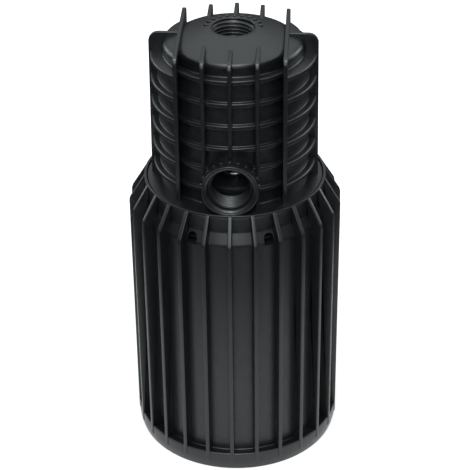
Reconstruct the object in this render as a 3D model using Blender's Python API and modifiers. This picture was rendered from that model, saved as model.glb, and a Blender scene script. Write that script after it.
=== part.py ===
"""Foot valve: a ribbed strainer canister below a ribbed housing with two G 1/2 ports.

Z points up, the side port faces -Y, and the origin is the centre of the base on the ground.
Every length is in metres.
"""
import math

import bmesh
import bpy
from mathutils import Matrix

# Fits
GAP = 0.0003              # clearance between pieces that touch
RUN = 0.0002              # radial clearance of the stem in its guide
CUT = 0.0010              # how far a cutter reaches past the face that it opens
ROOT = 0.0008             # how far a piece is rooted in the one it is united with
EDGE = 0.0004             # small chamfer
BROAD_EDGE = 0.0008       # chamfer of a broad moulded edge

# Driving sizes of the two shells
BODY_R = 0.0373           # outside of the housing's plain wall at its sides
CANISTER_STEP = 0.0112    # how far the canister's plain wall stands outside the housing's
SHOULDER_Z = 0.1349       # height at which the canister's plain wall turns in
RING_COUNT = 5            # rings on the housing below its top flange
RING_PITCH = 0.0115

# Strainer canister
CANISTER_WALL = 0.0025
RIB_COUNT = 26
RIB_DEPTH = 0.0055        # how far the ribs stand out from the wall
RIB_WIDTH = 0.0021
RIB_ROOT_DEPTH = 0.0012   # how far a rib is rooted in the wall
RIB_SHOULDER_RISE = 0.0020
SHOULDER_HEIGHT = 0.0058
SHOULDER_STEP = 0.0029    # how far the shoulder turns in to the neck
NECK_HEIGHT = 0.0097
NECK_WALL = 0.0017
RIM_BEAD = 0.0004
RIM_BEAD_HEIGHT = 0.0018
RIM_LIP = 0.0014          # thickness of the lip round the flange
RIM_DEPTH = 0.0025        # how deep the flange sits in the rim
FLANGE_SINK = 0.0006      # how far the flange's top lies below the rim
BASE_RING_STEP = 0.0003   # how far the base ring stays behind the ribs
BASE_RING_HEIGHT = 0.0106
BASE_EDGE = 0.0010        # how much the ring tucks in at the ground
BASE_EDGE_HEIGHT = 0.0044
BASE_CORE_WALL = 0.0021   # skin left round the groove under the base ring
BASE_CORE_DEPTH = 0.0078
WINDOW_AZIMUTH = 23.2     # degrees from the front and from the back
WINDOW_WIDTH = 0.0050
WINDOW_HEIGHT = 0.0057
WINDOW_DROP = 0.0010      # how far a window reaches below the shoulder
WINDOW_CUT = 0.0070       # depth of a window's cutter, through wall and shoulder
GRID_BOSS_R = 0.0036
GRID_BOSS_HEIGHT = 0.0120
GRID_SCREW_MARGIN = 0.0014    # from a base screw's head to the wall

# Screws: thread radius, head radius, head height, length under the head
BASE_SCREW = (0.0018, 0.0034, 0.0018, 0.0110)
SEAT_SCREW = (0.0015, 0.0025, 0.0016, 0.0125)
SCREW_COUNT = 4
SCREW_SOCKET = 0.55       # socket's width as a share of the head's diameter

# Base grid
GRID_Z = 0.0022           # underside
GRID_THICKNESS = 0.0030
GRID_SLOT_WIDTH = 0.0030
GRID_BRIDGE = 0.0035      # material between the rows of slots and the features beside them
GRID_INNER_SLOTS = 14
GRID_OUTER_SLOTS = 24
GRID_CUP_R = 0.0105       # ring that carries the filter
GRID_CUP_WALL = 0.0020
GRID_CUP_HEIGHT = 0.0022

# Upper housing
RING_DEPTH = 0.0032       # how far the side rings stand out
RING_HEIGHT = 0.0021
FIRST_RING_HEIGHT = 0.0097    # lowest ring's top above the flange disc
FRONT_RECESS = 0.0021     # how far the front and back walls lie behind the side walls
FRONT_LEAN = 0.0020       # how far they lean in at the top flange
FRONT_LEAN_PITCHES = 3    # rings over which they lean
FRONT_RING_DEPTH = 0.0020
DOME_STEP = 0.0028        # dome's side behind the side wall
DOME_FRONT_STEP = 0.0065
DOME_EDGE_HEIGHT = 0.0045
DOME_SHOULDER_HEIGHT = 0.0070
DOME_SHOULDER_RUN = 0.0021
DOME_HEIGHT = 0.0123      # crown above the top flange
DOME_FLAT_R = 0.0135
PLATE_WIDTH = 0.0020
PLATE_PITCH = 0.0130      # spacing of the upright plates
PLATE_HEIGHT = 0.0097     # their top above the top flange
PLATE_CORNER = 0.0026
INNER_PLATE_PROUD = 0.0007    # inner plates over the side wall
OUTER_PLATE_PROUD = 0.0034
FIN_PROUD_TOP = 0.0040
FIN_PROUD_LOW = 0.0047
FIN_CORNER = 0.0050
FIN_WIDTH = 0.0018
FIN_DROP = 0.0002         # fins' top below the plates' top
SPIGOT_DEPTH = 0.0163     # spigot's end below the flange disc's top
SPIGOT_WALL = 0.0056
BARB_WIDTH = 0.0040
BARB_REACH = 0.0029
CHAMBER_WALL = 0.0073     # side wall's thickness round the valve chamber
CEILING_DROP = 0.0040     # chamber's ceiling below the top flange
CEILING_CROWN = 0.0050    # its rise at the boss round the top thread
CEILING_SHOULDER = 0.0020
CEILING_CORNER = 0.0040
SOCKET_DROP = 0.0030      # how far that boss hangs below the ceiling

# Ports, G 1/2
THREAD_MINOR_R = 0.00932
PORT_MOUTH_R = 0.0105
TOP_MOUTH_DEPTH = 0.0022
MOUTH_CHAMFER = 0.0012    # where a mouth narrows to its thread
PORT_HEIGHT = 0.0130      # side port's axis above the flange disc
PORT_REACH = 0.0065       # its face in front of the side wall
PORT_R = 0.0137
PORT_FUNNEL_DEPTH = 0.0030
PORT_FUNNEL_STEP = 0.0010
PORT_ROOT = 0.0030        # how far its boss reaches in past the chamber's wall
PORT_LIP = 0.0012
SOCKET_WALL = 0.0052      # boss round the top thread, inside the chamber
TICK_COUNT = 11
TICK_SPAN = 180.0
TICK_HEIGHT = 0.0005
TICK_ROOT = 0.0020
TICK_WIDTH = 0.0015
TICK_LENGTH = 0.0024
SIDE_TICK_RELIEF = 0.0010  # off the side of the side port's boss
SIDE_TICK_SETBACK = 0.0027
SIDE_TICK_LENGTH = 0.0030
TOP_TICK_MARGIN = 0.0017  # from the top port's mouth

# Seat and guide
SEAT_THICKNESS = 0.0060
SEAT_RISE = 0.0035        # plate's underside above the spigot's end
ORIFICE_R = 0.0150
ORIFICE_FUNNEL = 0.0020
SEAT_LIP_WIDTH = 0.0022
SEAT_LIP_HEIGHT = 0.0020
COLLAR_WALL = 0.0030
COLLAR_DEPTH = 0.0060
ORING_R = 0.0008
CAGE_FLANGE = 0.0017
CAGE_HOLE_R = 0.0240
CAGE_LEG_R = 0.0265
CAGE_LEG_WIDTH = 0.0060
CAGE_LEG_DEPTH = 0.0026
CAGE_ARM_WIDTH = 0.0032
CAGE_LEGS = 3
BRIDGE_RISE = 0.0287      # bridge's underside above the seat plate
BRIDGE_HEIGHT = 0.0040
HUB_WALL = 0.0030

# Poppet
LIFT = 0.0080
DISC_OVERLAP = 0.0018     # disc beyond the seat's lip
DISC_HEIGHT = 0.0030
SEAL_OVERLAP = 0.0014
SEAL_INNER_R = 0.0045
SEAL_HEIGHT = 0.0020
WASHER_R = 0.0120
WASHER_HEIGHT = 0.0010
STEM_R = 0.0025
STEM_COLLAR_STEP = 0.0018
STEM_COLLAR_HEIGHT = 0.0024
STEM_OVER_BRIDGE = 0.0093
NUT_HEIGHT = 0.0042
NUT_WALL = 0.0033
STEM_TAIL = 0.0015
SPRING_WIRE_R = 0.0008
SPRING_PLAY = 0.0020      # between the hub and the inside of the coils
SPRING_TURNS = 4          # open turns
SPRING_CLOSED_TURNS = 1   # closed turns at each end
SPRING_POINTS = 12        # points to a turn
SPRING_PAD = 0.0008       # washer between spring and bridge

# Filter
FILTER_MARGIN = 0.0004    # from the seat screws' heads
FRAME_DEPTH = 0.0022
FRAME_POSTS = 8
FRAME_POST_WIDTH = 0.0022
FRAME_HOOPS = 3
FRAME_HOOP_HEIGHT = 0.0020
FRAME_END_HEIGHT = 0.0050
FRAME_END_DEPTH = 0.0062
SCREEN_WALL = 0.0005
GASKET_HEIGHT = 0.0010
CAP_HEIGHT = 0.0025
CAP_LIP = 0.0030
CAP_LIP_WALL = 0.0020
CAP_HOLLOW = 0.0010

# Roundness
FINE = 2 * RIB_COUNT
MEDIUM = 44
COARSE = 32
PORT_STEPS = 40
HOLE = 24
SMALL = 12

# Canister, worked out from the housing's wall and its own shoulder
CANISTER_R = BODY_R + CANISTER_STEP
CANISTER_BORE = CANISTER_R - CANISTER_WALL
RIB_R = CANISTER_R + RIB_DEPTH
BASE_RING_R = RIB_R - BASE_RING_STEP
SHOULDER_TOP_Z = SHOULDER_Z + SHOULDER_HEIGHT
NECK_R = CANISTER_R - SHOULDER_STEP
NECK_BORE = NECK_R - NECK_WALL
RIM_R = NECK_R + RIM_BEAD
RIM_Z = SHOULDER_TOP_Z + NECK_HEIGHT
WINDOW_LOW_Z = SHOULDER_Z - WINDOW_DROP
WINDOW_HIGH_Z = WINDOW_LOW_Z + WINDOW_HEIGHT
GRID_SCREW_RADIUS = CANISTER_BORE - BASE_SCREW[1] - GRID_SCREW_MARGIN

# Housing, standing in the canister's rim
DISC_TOP_Z = RIM_Z - FLANGE_SINK
DISC_R = RIM_R - RIM_LIP - GAP
SPIGOT_R = NECK_BORE - GAP
SPIGOT_LOW_Z = DISC_TOP_Z - SPIGOT_DEPTH
FLANGE_TOP_Z = DISC_TOP_Z + FIRST_RING_HEIGHT + RING_COUNT * RING_PITCH
TAPER_LOW_Z = FLANGE_TOP_Z - FRONT_LEAN_PITCHES * RING_PITCH
SIDE_RING_R = BODY_R + RING_DEPTH
FRONT_WALL_R = BODY_R - FRONT_RECESS
DOME_R = BODY_R - DOME_STEP
DOME_FRONT_R = BODY_R - DOME_FRONT_STEP
DOME_EDGE_Z = FLANGE_TOP_Z + DOME_EDGE_HEIGHT
DOME_SHOULDER_Z = FLANGE_TOP_Z + DOME_SHOULDER_HEIGHT
DOME_TOP_Z = FLANGE_TOP_Z + DOME_HEIGHT
PLATE_TOP_Z = FLANGE_TOP_Z + PLATE_HEIGHT
CHAMBER_R = BODY_R - CHAMBER_WALL
CEILING_Z = FLANGE_TOP_Z - CEILING_DROP
PORT_Z = DISC_TOP_Z + PORT_HEIGHT
PORT_FACE_Y = BODY_R + PORT_REACH
TOP_TICKS_R = PORT_MOUTH_R + TOP_TICK_MARGIN

# Seat, guide and poppet, stacked up from the seat plate
SEAT_R = SPIGOT_R - SPIGOT_WALL
SEAT_Z = SPIGOT_LOW_Z + SEAT_RISE
SEAT_TOP_Z = SEAT_Z + SEAT_THICKNESS
SEAT_LIP_R = ORIFICE_R + SEAT_LIP_WIDTH
SEAT_LIP_Z = SEAT_TOP_Z + SEAT_LIP_HEIGHT
SEAT_SCREW_RADIUS = SEAT_R - GAP - 2 * ORING_R - SEAT_SCREW[0] - GAP - EDGE
CAGE_Z = SEAT_TOP_Z + GAP
CAGE_TOP_Z = CAGE_Z + CAGE_FLANGE
CLAMP_Z = CAGE_TOP_Z + GAP
BRIDGE_Z = SEAT_TOP_Z + BRIDGE_RISE
SEAL_Z = SEAT_LIP_Z + GAP
PLATE_Z = SEAL_Z + SEAL_HEIGHT + GAP
PLATE_TOP = PLATE_Z + DISC_HEIGHT
STEM_COLLAR_Z = PLATE_TOP + GAP
HUB_Z = STEM_COLLAR_Z + STEM_COLLAR_HEIGHT + LIFT + GAP
HUB_R = STEM_R + HUB_WALL
SPRING_R = HUB_R + SPRING_PLAY + SPRING_WIRE_R

# Filter, between the seat plate and the base grid
FILTER_R = SEAT_SCREW_RADIUS - SEAT_SCREW[1] - FILTER_MARGIN
COLLAR_R = FILTER_R - FRAME_END_DEPTH - GAP
GRID_TOP_Z = GRID_Z + GRID_THICKNESS
CAP_Z = GRID_TOP_Z + GRID_CUP_HEIGHT + GAP
FRAME_Z = CAP_Z + CAP_HEIGHT + GAP
GASKET_Z = SEAT_Z - GAP - GASKET_HEIGHT
FRAME_TOP_Z = GASKET_Z - GAP
FRAME_BORE = FILTER_R - FRAME_DEPTH
SCREEN_R = FRAME_BORE - GAP

COLOURS = {
    "black": ((0.012, 0.013, 0.015), 0.42, 0.0),
    "dark": ((0.030, 0.031, 0.034), 0.50, 0.0),
    "rubber": ((0.015, 0.015, 0.015), 0.75, 0.0),
    "steel": ((0.60, 0.60, 0.60), 0.30, 1.0),
    "brass": ((0.72, 0.52, 0.24), 0.32, 1.0),
    "acetal": ((0.78, 0.78, 0.75), 0.45, 0.0),
}


def clear_scene():
    """Remove every object that the file starts with."""
    for item in list(bpy.data.objects):
        bpy.data.objects.remove(item, do_unlink=True)


def collection(name):
    """Make a collection in the scene."""
    made = bpy.data.collections.new(name)
    bpy.context.scene.collection.children.link(made)
    return made


def material(name, finish):
    """Make one part's own material from a finish."""
    colour, roughness, metallic = COLOURS[finish]
    made = bpy.data.materials.new(name)
    made.use_nodes = True
    shader = made.node_tree.nodes["Principled BSDF"]
    shader.inputs["Base Color"].default_value = (*colour, 1.0)
    shader.inputs["Roughness"].default_value = roughness
    shader.inputs["Metallic"].default_value = metallic
    return made


def new_object(name, mesh, group):
    """Wrap a mesh in an object in a collection."""
    made = bpy.data.objects.new(name, mesh)
    group.objects.link(made)
    return made


def evaluated(item):
    """Return a copy of an object's mesh with its modifiers applied."""
    graph = bpy.context.evaluated_depsgraph_get()
    graph.update()
    return bpy.data.meshes.new_from_object(item.evaluated_get(graph))


def baked(item):
    """Replace an object's mesh by its evaluated, welded mesh in world space."""
    mesh = evaluated(item)
    mesh.transform(item.matrix_world)
    work = bmesh.new()
    work.from_mesh(mesh)
    bmesh.ops.remove_doubles(work, verts=work.verts, dist=1e-6)
    work.to_mesh(mesh)
    work.free()
    name = item.name
    group = item.users_collection[0]
    bpy.data.objects.remove(item, do_unlink=True)
    return new_object(name, mesh, group)


def turned(name, profile, group, steps=MEDIUM):
    """Turn a closed profile of (radius, height) points, listed top to bottom on its outer side."""
    mesh = bpy.data.meshes.new(name)
    points = [(radius, 0.0, height) for radius, height in profile]
    count = len(points)
    edges = [(k, (k + 1) % count) for k in range(count)]
    mesh.from_pydata(points, edges, [])
    item = new_object(name, mesh, group)
    screw = item.modifiers.new("turn", "SCREW")
    screw.steps = steps
    screw.render_steps = steps
    screw.use_merge_vertices = True
    screw.merge_threshold = 1e-6
    screw.use_smooth_shade = False
    return baked(item)


def ring_profile(inner, outer, low, high):
    """Rectangular section of a ring."""
    return [(outer, high), (outer, low), (inner, low), (inner, high)]


def rod(name, radius, low, high, group, steps=SMALL):
    """Make a solid upright cylinder on the axis."""
    mesh = bpy.data.meshes.new(name)
    work = bmesh.new()
    bmesh.ops.create_cone(work, cap_ends=True, segments=steps, radius1=radius, radius2=radius,
                          depth=high - low)
    bmesh.ops.translate(work, verts=work.verts, vec=(0.0, 0.0, (low + high) / 2))
    work.to_mesh(mesh)
    work.free()
    return new_object(name, mesh, group)


def box(name, low, high, group):
    """Make a box between two corners."""
    mesh = bpy.data.meshes.new(name)
    work = bmesh.new()
    bmesh.ops.create_cube(work, size=1.0)
    size = [b - a for a, b in zip(low, high)]
    middle = [(a + b) / 2 for a, b in zip(low, high)]
    bmesh.ops.scale(work, verts=work.verts, vec=size)
    bmesh.ops.translate(work, verts=work.verts, vec=middle)
    work.to_mesh(mesh)
    work.free()
    return new_object(name, mesh, group)


def slab(name, outline, thickness, group):
    """Extrude a flat outline of (x, y) points by a thickness centred on its plane."""
    curve = bpy.data.curves.new(name, "CURVE")
    curve.dimensions = "2D"
    curve.fill_mode = "BOTH"
    curve.extrude = thickness / 2
    spline = curve.splines.new("POLY")
    spline.points.add(len(outline) - 1)
    for point, (x, y) in zip(spline.points, outline):
        point.co = (x, y, 0.0, 1.0)
    spline.use_cyclic_u = True
    item = new_object(name, curve, group)
    return item


def stand(item, azimuth=0.0):
    """Stand a slab up, its x outwards at an azimuth from the front and its y upwards."""
    upright = Matrix.Rotation(math.radians(90.0), 4, "X")
    turn = Matrix.Rotation(math.radians(azimuth - 90.0), 4, "Z")
    item.matrix_world = turn @ upright
    return baked(item)


def place(item, azimuth, radius=0.0, height=0.0):
    """Carry a piece made on the axis out to a radius at an azimuth from the front."""
    angle = math.radians(azimuth - 90.0)
    move = Matrix.Translation((radius * math.cos(angle), radius * math.sin(angle), height))
    item.matrix_world = move @ Matrix.Rotation(angle, 4, "Z")
    return baked(item)


def combine(target, operands, operation):
    """Add, cut or intersect a target with each operand in turn."""
    for operand in operands:
        change = target.modifiers.new(operation.lower(), "BOOLEAN")
        change.operation = operation
        change.solver = "EXACT"
        change.object = operand
        bpy.context.view_layer.update()
        target = baked(target)
        bpy.data.objects.remove(operand, do_unlink=True)
    return target


def finish(item, look, smooth=30.0):
    """Give a finished part its material and shading."""
    mesh = item.data
    mesh.materials.clear()
    mesh.materials.append(material(item.name, look))
    mesh.shade_smooth()
    mesh.set_sharp_from_angle(angle=math.radians(smooth))
    return item


def evenly(count, start=0.0):
    """Azimuths of a round pattern, in degrees."""
    return [start + 360.0 * k / count for k in range(count)]


def arc(centre, radius, start, end, steps):
    """Points on an arc, its angles in degrees."""
    points = []
    for k in range(steps + 1):
        angle = math.radians(start + (end - start) * k / steps)
        points.append((centre[0] + radius * math.cos(angle), centre[1] + radius * math.sin(angle)))
    return points


# ---------------------------------------------------------------- canister

def canister_profile():
    """Section of the canister's wall with its base ring, shoulder, neck and rim."""
    step_r = RIM_R - RIM_LIP
    step_z = RIM_Z - RIM_DEPTH
    inner_turn = SHOULDER_Z - CANISTER_WALL
    tuck = BASE_RING_R - BASE_EDGE
    base_edge = [(BASE_RING_R - BASE_EDGE * (1 - math.cos(math.radians(a))),
                  BASE_EDGE_HEIGHT * (1 - math.sin(math.radians(a)))) for a in (0, 30, 60)]
    outer = [(RIM_R, RIM_Z), (RIM_R, RIM_Z - RIM_BEAD_HEIGHT + EDGE),
             (NECK_R, RIM_Z - RIM_BEAD_HEIGHT),
             (NECK_R, SHOULDER_TOP_Z), (CANISTER_R, SHOULDER_Z),
             (CANISTER_R, BASE_RING_HEIGHT - BROAD_EDGE), (BASE_RING_R - EDGE, BASE_RING_HEIGHT),
             (BASE_RING_R, BASE_RING_HEIGHT - EDGE)] + base_edge + [(tuck, 0.0)]
    core_outer = BASE_RING_R - BASE_CORE_WALL
    core = [(core_outer, 0.0), (core_outer, BASE_CORE_DEPTH), (CANISTER_R, BASE_CORE_DEPTH),
            (CANISTER_R, 0.0)]
    inner = [(CANISTER_BORE, 0.0), (CANISTER_BORE, inner_turn - SHOULDER_HEIGHT * 0.5),
             (NECK_BORE, inner_turn + SHOULDER_HEIGHT * 0.2), (NECK_BORE, step_z),
             (step_r, step_z), (step_r, RIM_Z)]
    return outer + core + inner


def canister_rib(index, group):
    """Upright rib from the base ring to the rim, sloping in over the shoulder."""
    root = CANISTER_R - RIB_ROOT_DEPTH
    neck = (NECK_R + NECK_BORE) / 2
    low = BASE_CORE_DEPTH + GAP
    top = RIM_Z - EDGE
    outline = [(root, low), (BASE_RING_R - RIB_ROOT_DEPTH / 2, low),
               (BASE_RING_R - RIB_ROOT_DEPTH / 2, BASE_EDGE_HEIGHT), (RIB_R, BASE_EDGE_HEIGHT + EDGE),
               (RIB_R, SHOULDER_Z + RIB_SHOULDER_RISE), (RIM_R, top), (neck, top),
               (neck, SHOULDER_TOP_Z - ROOT), (root, SHOULDER_Z - RIB_ROOT_DEPTH)]
    rib = slab(f"rib_{index}", outline, RIB_WIDTH, group)
    return stand(rib, 360.0 * index / RIB_COUNT)


def window_cutter(azimuth, group):
    """Arched cutter for a snap window in the shoulder."""
    half = WINDOW_WIDTH / 2
    spring_line = WINDOW_HIGH_Z - half
    outline = [(-half, WINDOW_LOW_Z), (half, WINDOW_LOW_Z)] + arc((0.0, spring_line), half, 0, 180, 8)
    cutter = slab("window", outline, WINDOW_CUT, group)
    angle = math.radians(azimuth - 90.0)
    middle = NECK_BORE - ROOT + WINDOW_CUT / 2
    move = Matrix.Translation((middle * math.cos(angle), middle * math.sin(angle), 0.0))
    turn = Matrix.Rotation(angle + math.radians(90.0), 4, "Z")
    cutter.matrix_world = move @ turn @ Matrix.Rotation(math.radians(90.0), 4, "X")
    return baked(cutter)


def window_azimuths():
    """Azimuths of the four snap windows."""
    return [WINDOW_AZIMUTH, -WINDOW_AZIMUTH, 180.0 - WINDOW_AZIMUTH, 180.0 + WINDOW_AZIMUTH]


def grid_screw_azimuths():
    """Azimuths of the base screws, each on a cell between two ribs."""
    return evenly(SCREW_COUNT, 45.0)


def strainer_canister(parts, guides):
    """Ribbed lower shell."""
    shell = turned("strainer_canister", canister_profile(), parts, FINE)
    ribs = [canister_rib(k, guides) for k in range(RIB_COUNT)]
    bosses = []
    for azimuth in grid_screw_azimuths():
        low = GRID_TOP_Z + GAP
        boss = rod("boss", GRID_BOSS_R, low, low + GRID_BOSS_HEIGHT, guides)
        bosses.append(place(boss, azimuth, GRID_SCREW_RADIUS + GRID_SCREW_MARGIN))
    shell = combine(shell, ribs + bosses, "UNION")
    holes = []
    for azimuth in grid_screw_azimuths():
        hole = rod("hole", BASE_SCREW[0] + GAP, GRID_Z, GRID_Z + BASE_SCREW[3] + CUT, guides)
        holes.append(place(hole, azimuth, GRID_SCREW_RADIUS))
    windows = [window_cutter(azimuth, guides) for azimuth in window_azimuths()]
    return finish(combine(shell, windows + holes, "DIFFERENCE"), "black")


# ---------------------------------------------------------------- housing

def ringed_profile(wall_at, ring_at, dome_r):
    """Section of the housing: a wall with rings, the top flange and the dome."""
    points = [(0.0, DOME_TOP_Z), (DOME_FLAT_R, DOME_TOP_Z),
              (dome_r - DOME_SHOULDER_RUN, DOME_SHOULDER_Z),
              (dome_r - DOME_SHOULDER_RUN * 0.3, DOME_SHOULDER_Z - BROAD_EDGE),
              (dome_r, DOME_EDGE_Z), (dome_r, FLANGE_TOP_Z)]
    for k in range(RING_COUNT + 1):
        top = FLANGE_TOP_Z - k * RING_PITCH
        low = top - RING_HEIGHT
        if k:
            points.append((wall_at(top), top))
        points += [(ring_at(top), top), (ring_at(low), low), (wall_at(low), low)]
    points += [(wall_at(DISC_TOP_Z), DISC_TOP_Z - ROOT * 0.6), (0.0, DISC_TOP_Z - ROOT * 0.6)]
    return points


def front_wall_at(height):
    """Radius of the recessed front and back wall, leaning in towards the top."""
    share = max(0.0, (height - TAPER_LOW_Z) / (FLANGE_TOP_Z - TAPER_LOW_Z))
    return FRONT_WALL_R - FRONT_LEAN * share


def front_ring_at(height):
    """Radius of the rings on the recessed front and back wall."""
    return front_wall_at(height) + FRONT_RING_DEPTH


def middle_box(half, group):
    """Tall box across the housing's middle, from front to back."""
    reach = 2 * BODY_R
    return box("middle", (-half, -reach, SPIGOT_LOW_Z), (half, reach, DOME_TOP_Z + RING_PITCH), group)


def side_body(group):
    """Side sectors of the ribbed wall, outside the two outer plates."""
    body = turned("side", ringed_profile(lambda z: BODY_R, lambda z: SIDE_RING_R, DOME_R),
                  group, MEDIUM)
    half = 2 * PLATE_PITCH - PLATE_WIDTH * 0.2
    return combine(body, [middle_box(half, group)], "DIFFERENCE")


def front_body(group):
    """Front and back sectors of the ribbed wall, between the two outer plates."""
    body = turned("front", ringed_profile(front_wall_at, front_ring_at, DOME_FRONT_R), group, MEDIUM)
    half = 2 * PLATE_PITCH + PLATE_WIDTH * 0.2
    return combine(body, [middle_box(half, group)], "INTERSECT")


def plate_outline(half_depth, top, corner):
    """Outline of an upright plate that runs from front to back, with cut corners at the top."""
    low = DISC_TOP_Z - ROOT
    return [(-half_depth, low), (half_depth, low), (half_depth, top - corner * 1.2),
            (half_depth - corner * 0.35, top - corner * 0.4), (half_depth - corner, top),
            (-half_depth + corner, top), (-half_depth + corner * 0.35, top - corner * 0.4),
            (-half_depth, top - corner * 1.2)]


def plates(group):
    """Upright plates, parallel to the plane through both ports."""
    made = []
    for step in (-2, -1, 0, 1, 2):
        offset = step * PLATE_PITCH
        radius = BODY_R + (OUTER_PLATE_PROUD if abs(step) == 2 else INNER_PLATE_PROUD)
        depth = math.sqrt(radius ** 2 - offset ** 2)
        plate = slab(f"plate_{step}", plate_outline(depth, PLATE_TOP_Z, PLATE_CORNER), PLATE_WIDTH, group)
        plate.matrix_world = (Matrix.Translation((offset, 0.0, 0.0))
                              @ Matrix.Rotation(math.radians(90.0), 4, "Z")
                              @ Matrix.Rotation(math.radians(90.0), 4, "X"))
        made.append(baked(plate))
    return made


def fins(group):
    """Parting fins at both sides, from the flange to above the dome's shoulder."""
    low = DISC_TOP_Z - ROOT
    inner = 2 * PLATE_PITCH
    top_r = BODY_R + FIN_PROUD_TOP
    corner = arc((top_r - FIN_CORNER, PLATE_TOP_Z - FIN_DROP - FIN_CORNER), FIN_CORNER, 0, 90, 5)
    outline = [(inner, low), (BODY_R + FIN_PROUD_LOW, low)] + corner + [(inner, PLATE_TOP_Z - FIN_DROP)]
    made = []
    for azimuth in (90.0, -90.0):
        made.append(stand(slab("fin", outline, FIN_WIDTH, group), azimuth))
    return made


def facing_front(name, profile, group, steps):
    """Turn a profile about the side port's axis: (radius, distance in front of the valve's axis)."""
    item = turned(name, profile, group, steps)
    item.matrix_world = Matrix.Translation((0.0, 0.0, PORT_Z)) @ Matrix.Rotation(math.radians(90.0), 4, "X")
    return baked(item)


def port_boss(group):
    """Side port's round boss."""
    root = CHAMBER_R - PORT_ROOT
    return facing_front("boss", [(0.0, PORT_FACE_Y), (PORT_R - EDGE, PORT_FACE_Y),
                                 (PORT_R, PORT_FACE_Y - EDGE), (PORT_R, root), (0.0, root)],
                        group, PORT_STEPS)


def side_port_cutter(group):
    """Funnel and threaded bore of the side port, through to the chamber."""
    profile = [(PORT_R - PORT_LIP, PORT_FACE_Y + CUT), (PORT_R - PORT_LIP, PORT_FACE_Y - EDGE),
               (PORT_MOUTH_R + PORT_FUNNEL_STEP, PORT_FACE_Y - PORT_FUNNEL_DEPTH * 0.6),
               (PORT_MOUTH_R, PORT_FACE_Y - PORT_FUNNEL_DEPTH),
               (THREAD_MINOR_R, PORT_FACE_Y - PORT_FUNNEL_DEPTH - MOUTH_CHAMFER),
               (THREAD_MINOR_R, CHAMBER_R - 2 * PORT_ROOT), (0.0, CHAMBER_R - 2 * PORT_ROOT),
               (0.0, PORT_FACE_Y + CUT)]
    return facing_front("side_bore", profile, group, COARSE)


def chamber_profile():
    """Section of the hollow: spigot bore, valve chamber, ceiling and top bore."""
    mouth = DOME_TOP_Z - TOP_MOUTH_DEPTH
    thread = mouth - MOUTH_CHAMFER
    socket_r = THREAD_MINOR_R + SOCKET_WALL
    return [(0.0, DOME_TOP_Z + CUT), (PORT_MOUTH_R, DOME_TOP_Z + CUT), (PORT_MOUTH_R, mouth),
            (THREAD_MINOR_R, thread), (THREAD_MINOR_R, CEILING_Z - SOCKET_DROP),
            (socket_r, CEILING_Z - SOCKET_DROP), (socket_r, CEILING_Z + CEILING_CROWN),
            (CHAMBER_R - CEILING_CORNER, CEILING_Z + CEILING_SHOULDER),
            (CHAMBER_R, CEILING_Z - CEILING_CORNER * 0.75),
            (CHAMBER_R, CLAMP_Z), (SEAT_R, CLAMP_Z), (SEAT_R, SPIGOT_LOW_Z - CUT),
            (0.0, SPIGOT_LOW_Z - CUT)]


def spigot(group):
    """Flange disc and spigot that plug the canister's neck."""
    step = RIM_Z - RIM_DEPTH + GAP
    profile = [(0.0, DISC_TOP_Z), (DISC_R - EDGE, DISC_TOP_Z), (DISC_R, DISC_TOP_Z - EDGE),
               (DISC_R, step), (SPIGOT_R, step), (SPIGOT_R, SPIGOT_LOW_Z + EDGE),
               (SPIGOT_R - EDGE, SPIGOT_LOW_Z), (0.0, SPIGOT_LOW_Z)]
    return turned("spigot", profile, group, MEDIUM)


def barbs(group):
    """Snap barbs on the spigot, one in each window."""
    low = WINDOW_LOW_Z + GAP
    high = WINDOW_HIGH_Z - WINDOW_WIDTH / 2
    root = SPIGOT_R - ROOT
    outline = [(root, low), (SPIGOT_R + BARB_REACH * 0.2, low), (SPIGOT_R + BARB_REACH, high),
               (root, high)]
    return [stand(slab("barb", outline, BARB_WIDTH, group), a) for a in window_azimuths()]


def ticks(inner, outer, low, high, group):
    """Raised index ticks over the upper half of a ring, made about Z between two radii and heights."""
    made = []
    for k in range(TICK_COUNT):
        azimuth = TICK_SPAN * (k + 0.5) / TICK_COUNT - TICK_SPAN / 2 + 180.0
        tick = box("tick", (inner, -TICK_WIDTH / 2, low), (outer, TICK_WIDTH / 2, high), group)
        made.append(place(tick, azimuth))
    return made


def side_ticks(group):
    """Ticks round the upper side of the side port's boss."""
    made = []
    near = PORT_FACE_Y - SIDE_TICK_SETBACK
    for tick in ticks(PORT_R - TICK_ROOT, PORT_R + SIDE_TICK_RELIEF, near - SIDE_TICK_LENGTH, near, group):
        tick.matrix_world = (Matrix.Translation((0.0, 0.0, PORT_Z))
                             @ Matrix.Rotation(math.radians(90.0), 4, "X"))
        made.append(baked(tick))
    return made


def seat_screw_azimuths():
    """Azimuths of the screws that clamp the seat."""
    return evenly(SCREW_COUNT, 45.0)


def upper_housing(parts, guides):
    """Ribbed upper shell with both ports."""
    body = side_body(parts)
    body.name = "upper_housing"
    pieces = [front_body(guides), spigot(guides)] + plates(guides) + fins(guides)
    pieces += [port_boss(guides)] + barbs(guides) + side_ticks(guides)
    top = ticks(TOP_TICKS_R, TOP_TICKS_R + TICK_LENGTH, DOME_TOP_Z - TICK_ROOT, DOME_TOP_Z + TICK_HEIGHT,
                guides)
    body = combine(body, pieces + top, "UNION")
    cuts = [turned("chamber", chamber_profile(), guides, COARSE), side_port_cutter(guides)]
    for azimuth in seat_screw_azimuths():
        hole = rod("hole", SEAT_SCREW[0] + GAP, SEAT_Z - CUT, SEAT_Z + SEAT_SCREW[3] + CUT,
                   guides)
        cuts.append(place(hole, azimuth, SEAT_SCREW_RADIUS))
    return finish(combine(body, cuts, "DIFFERENCE"), "black")


# ---------------------------------------------------------------- seat and guide

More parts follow.
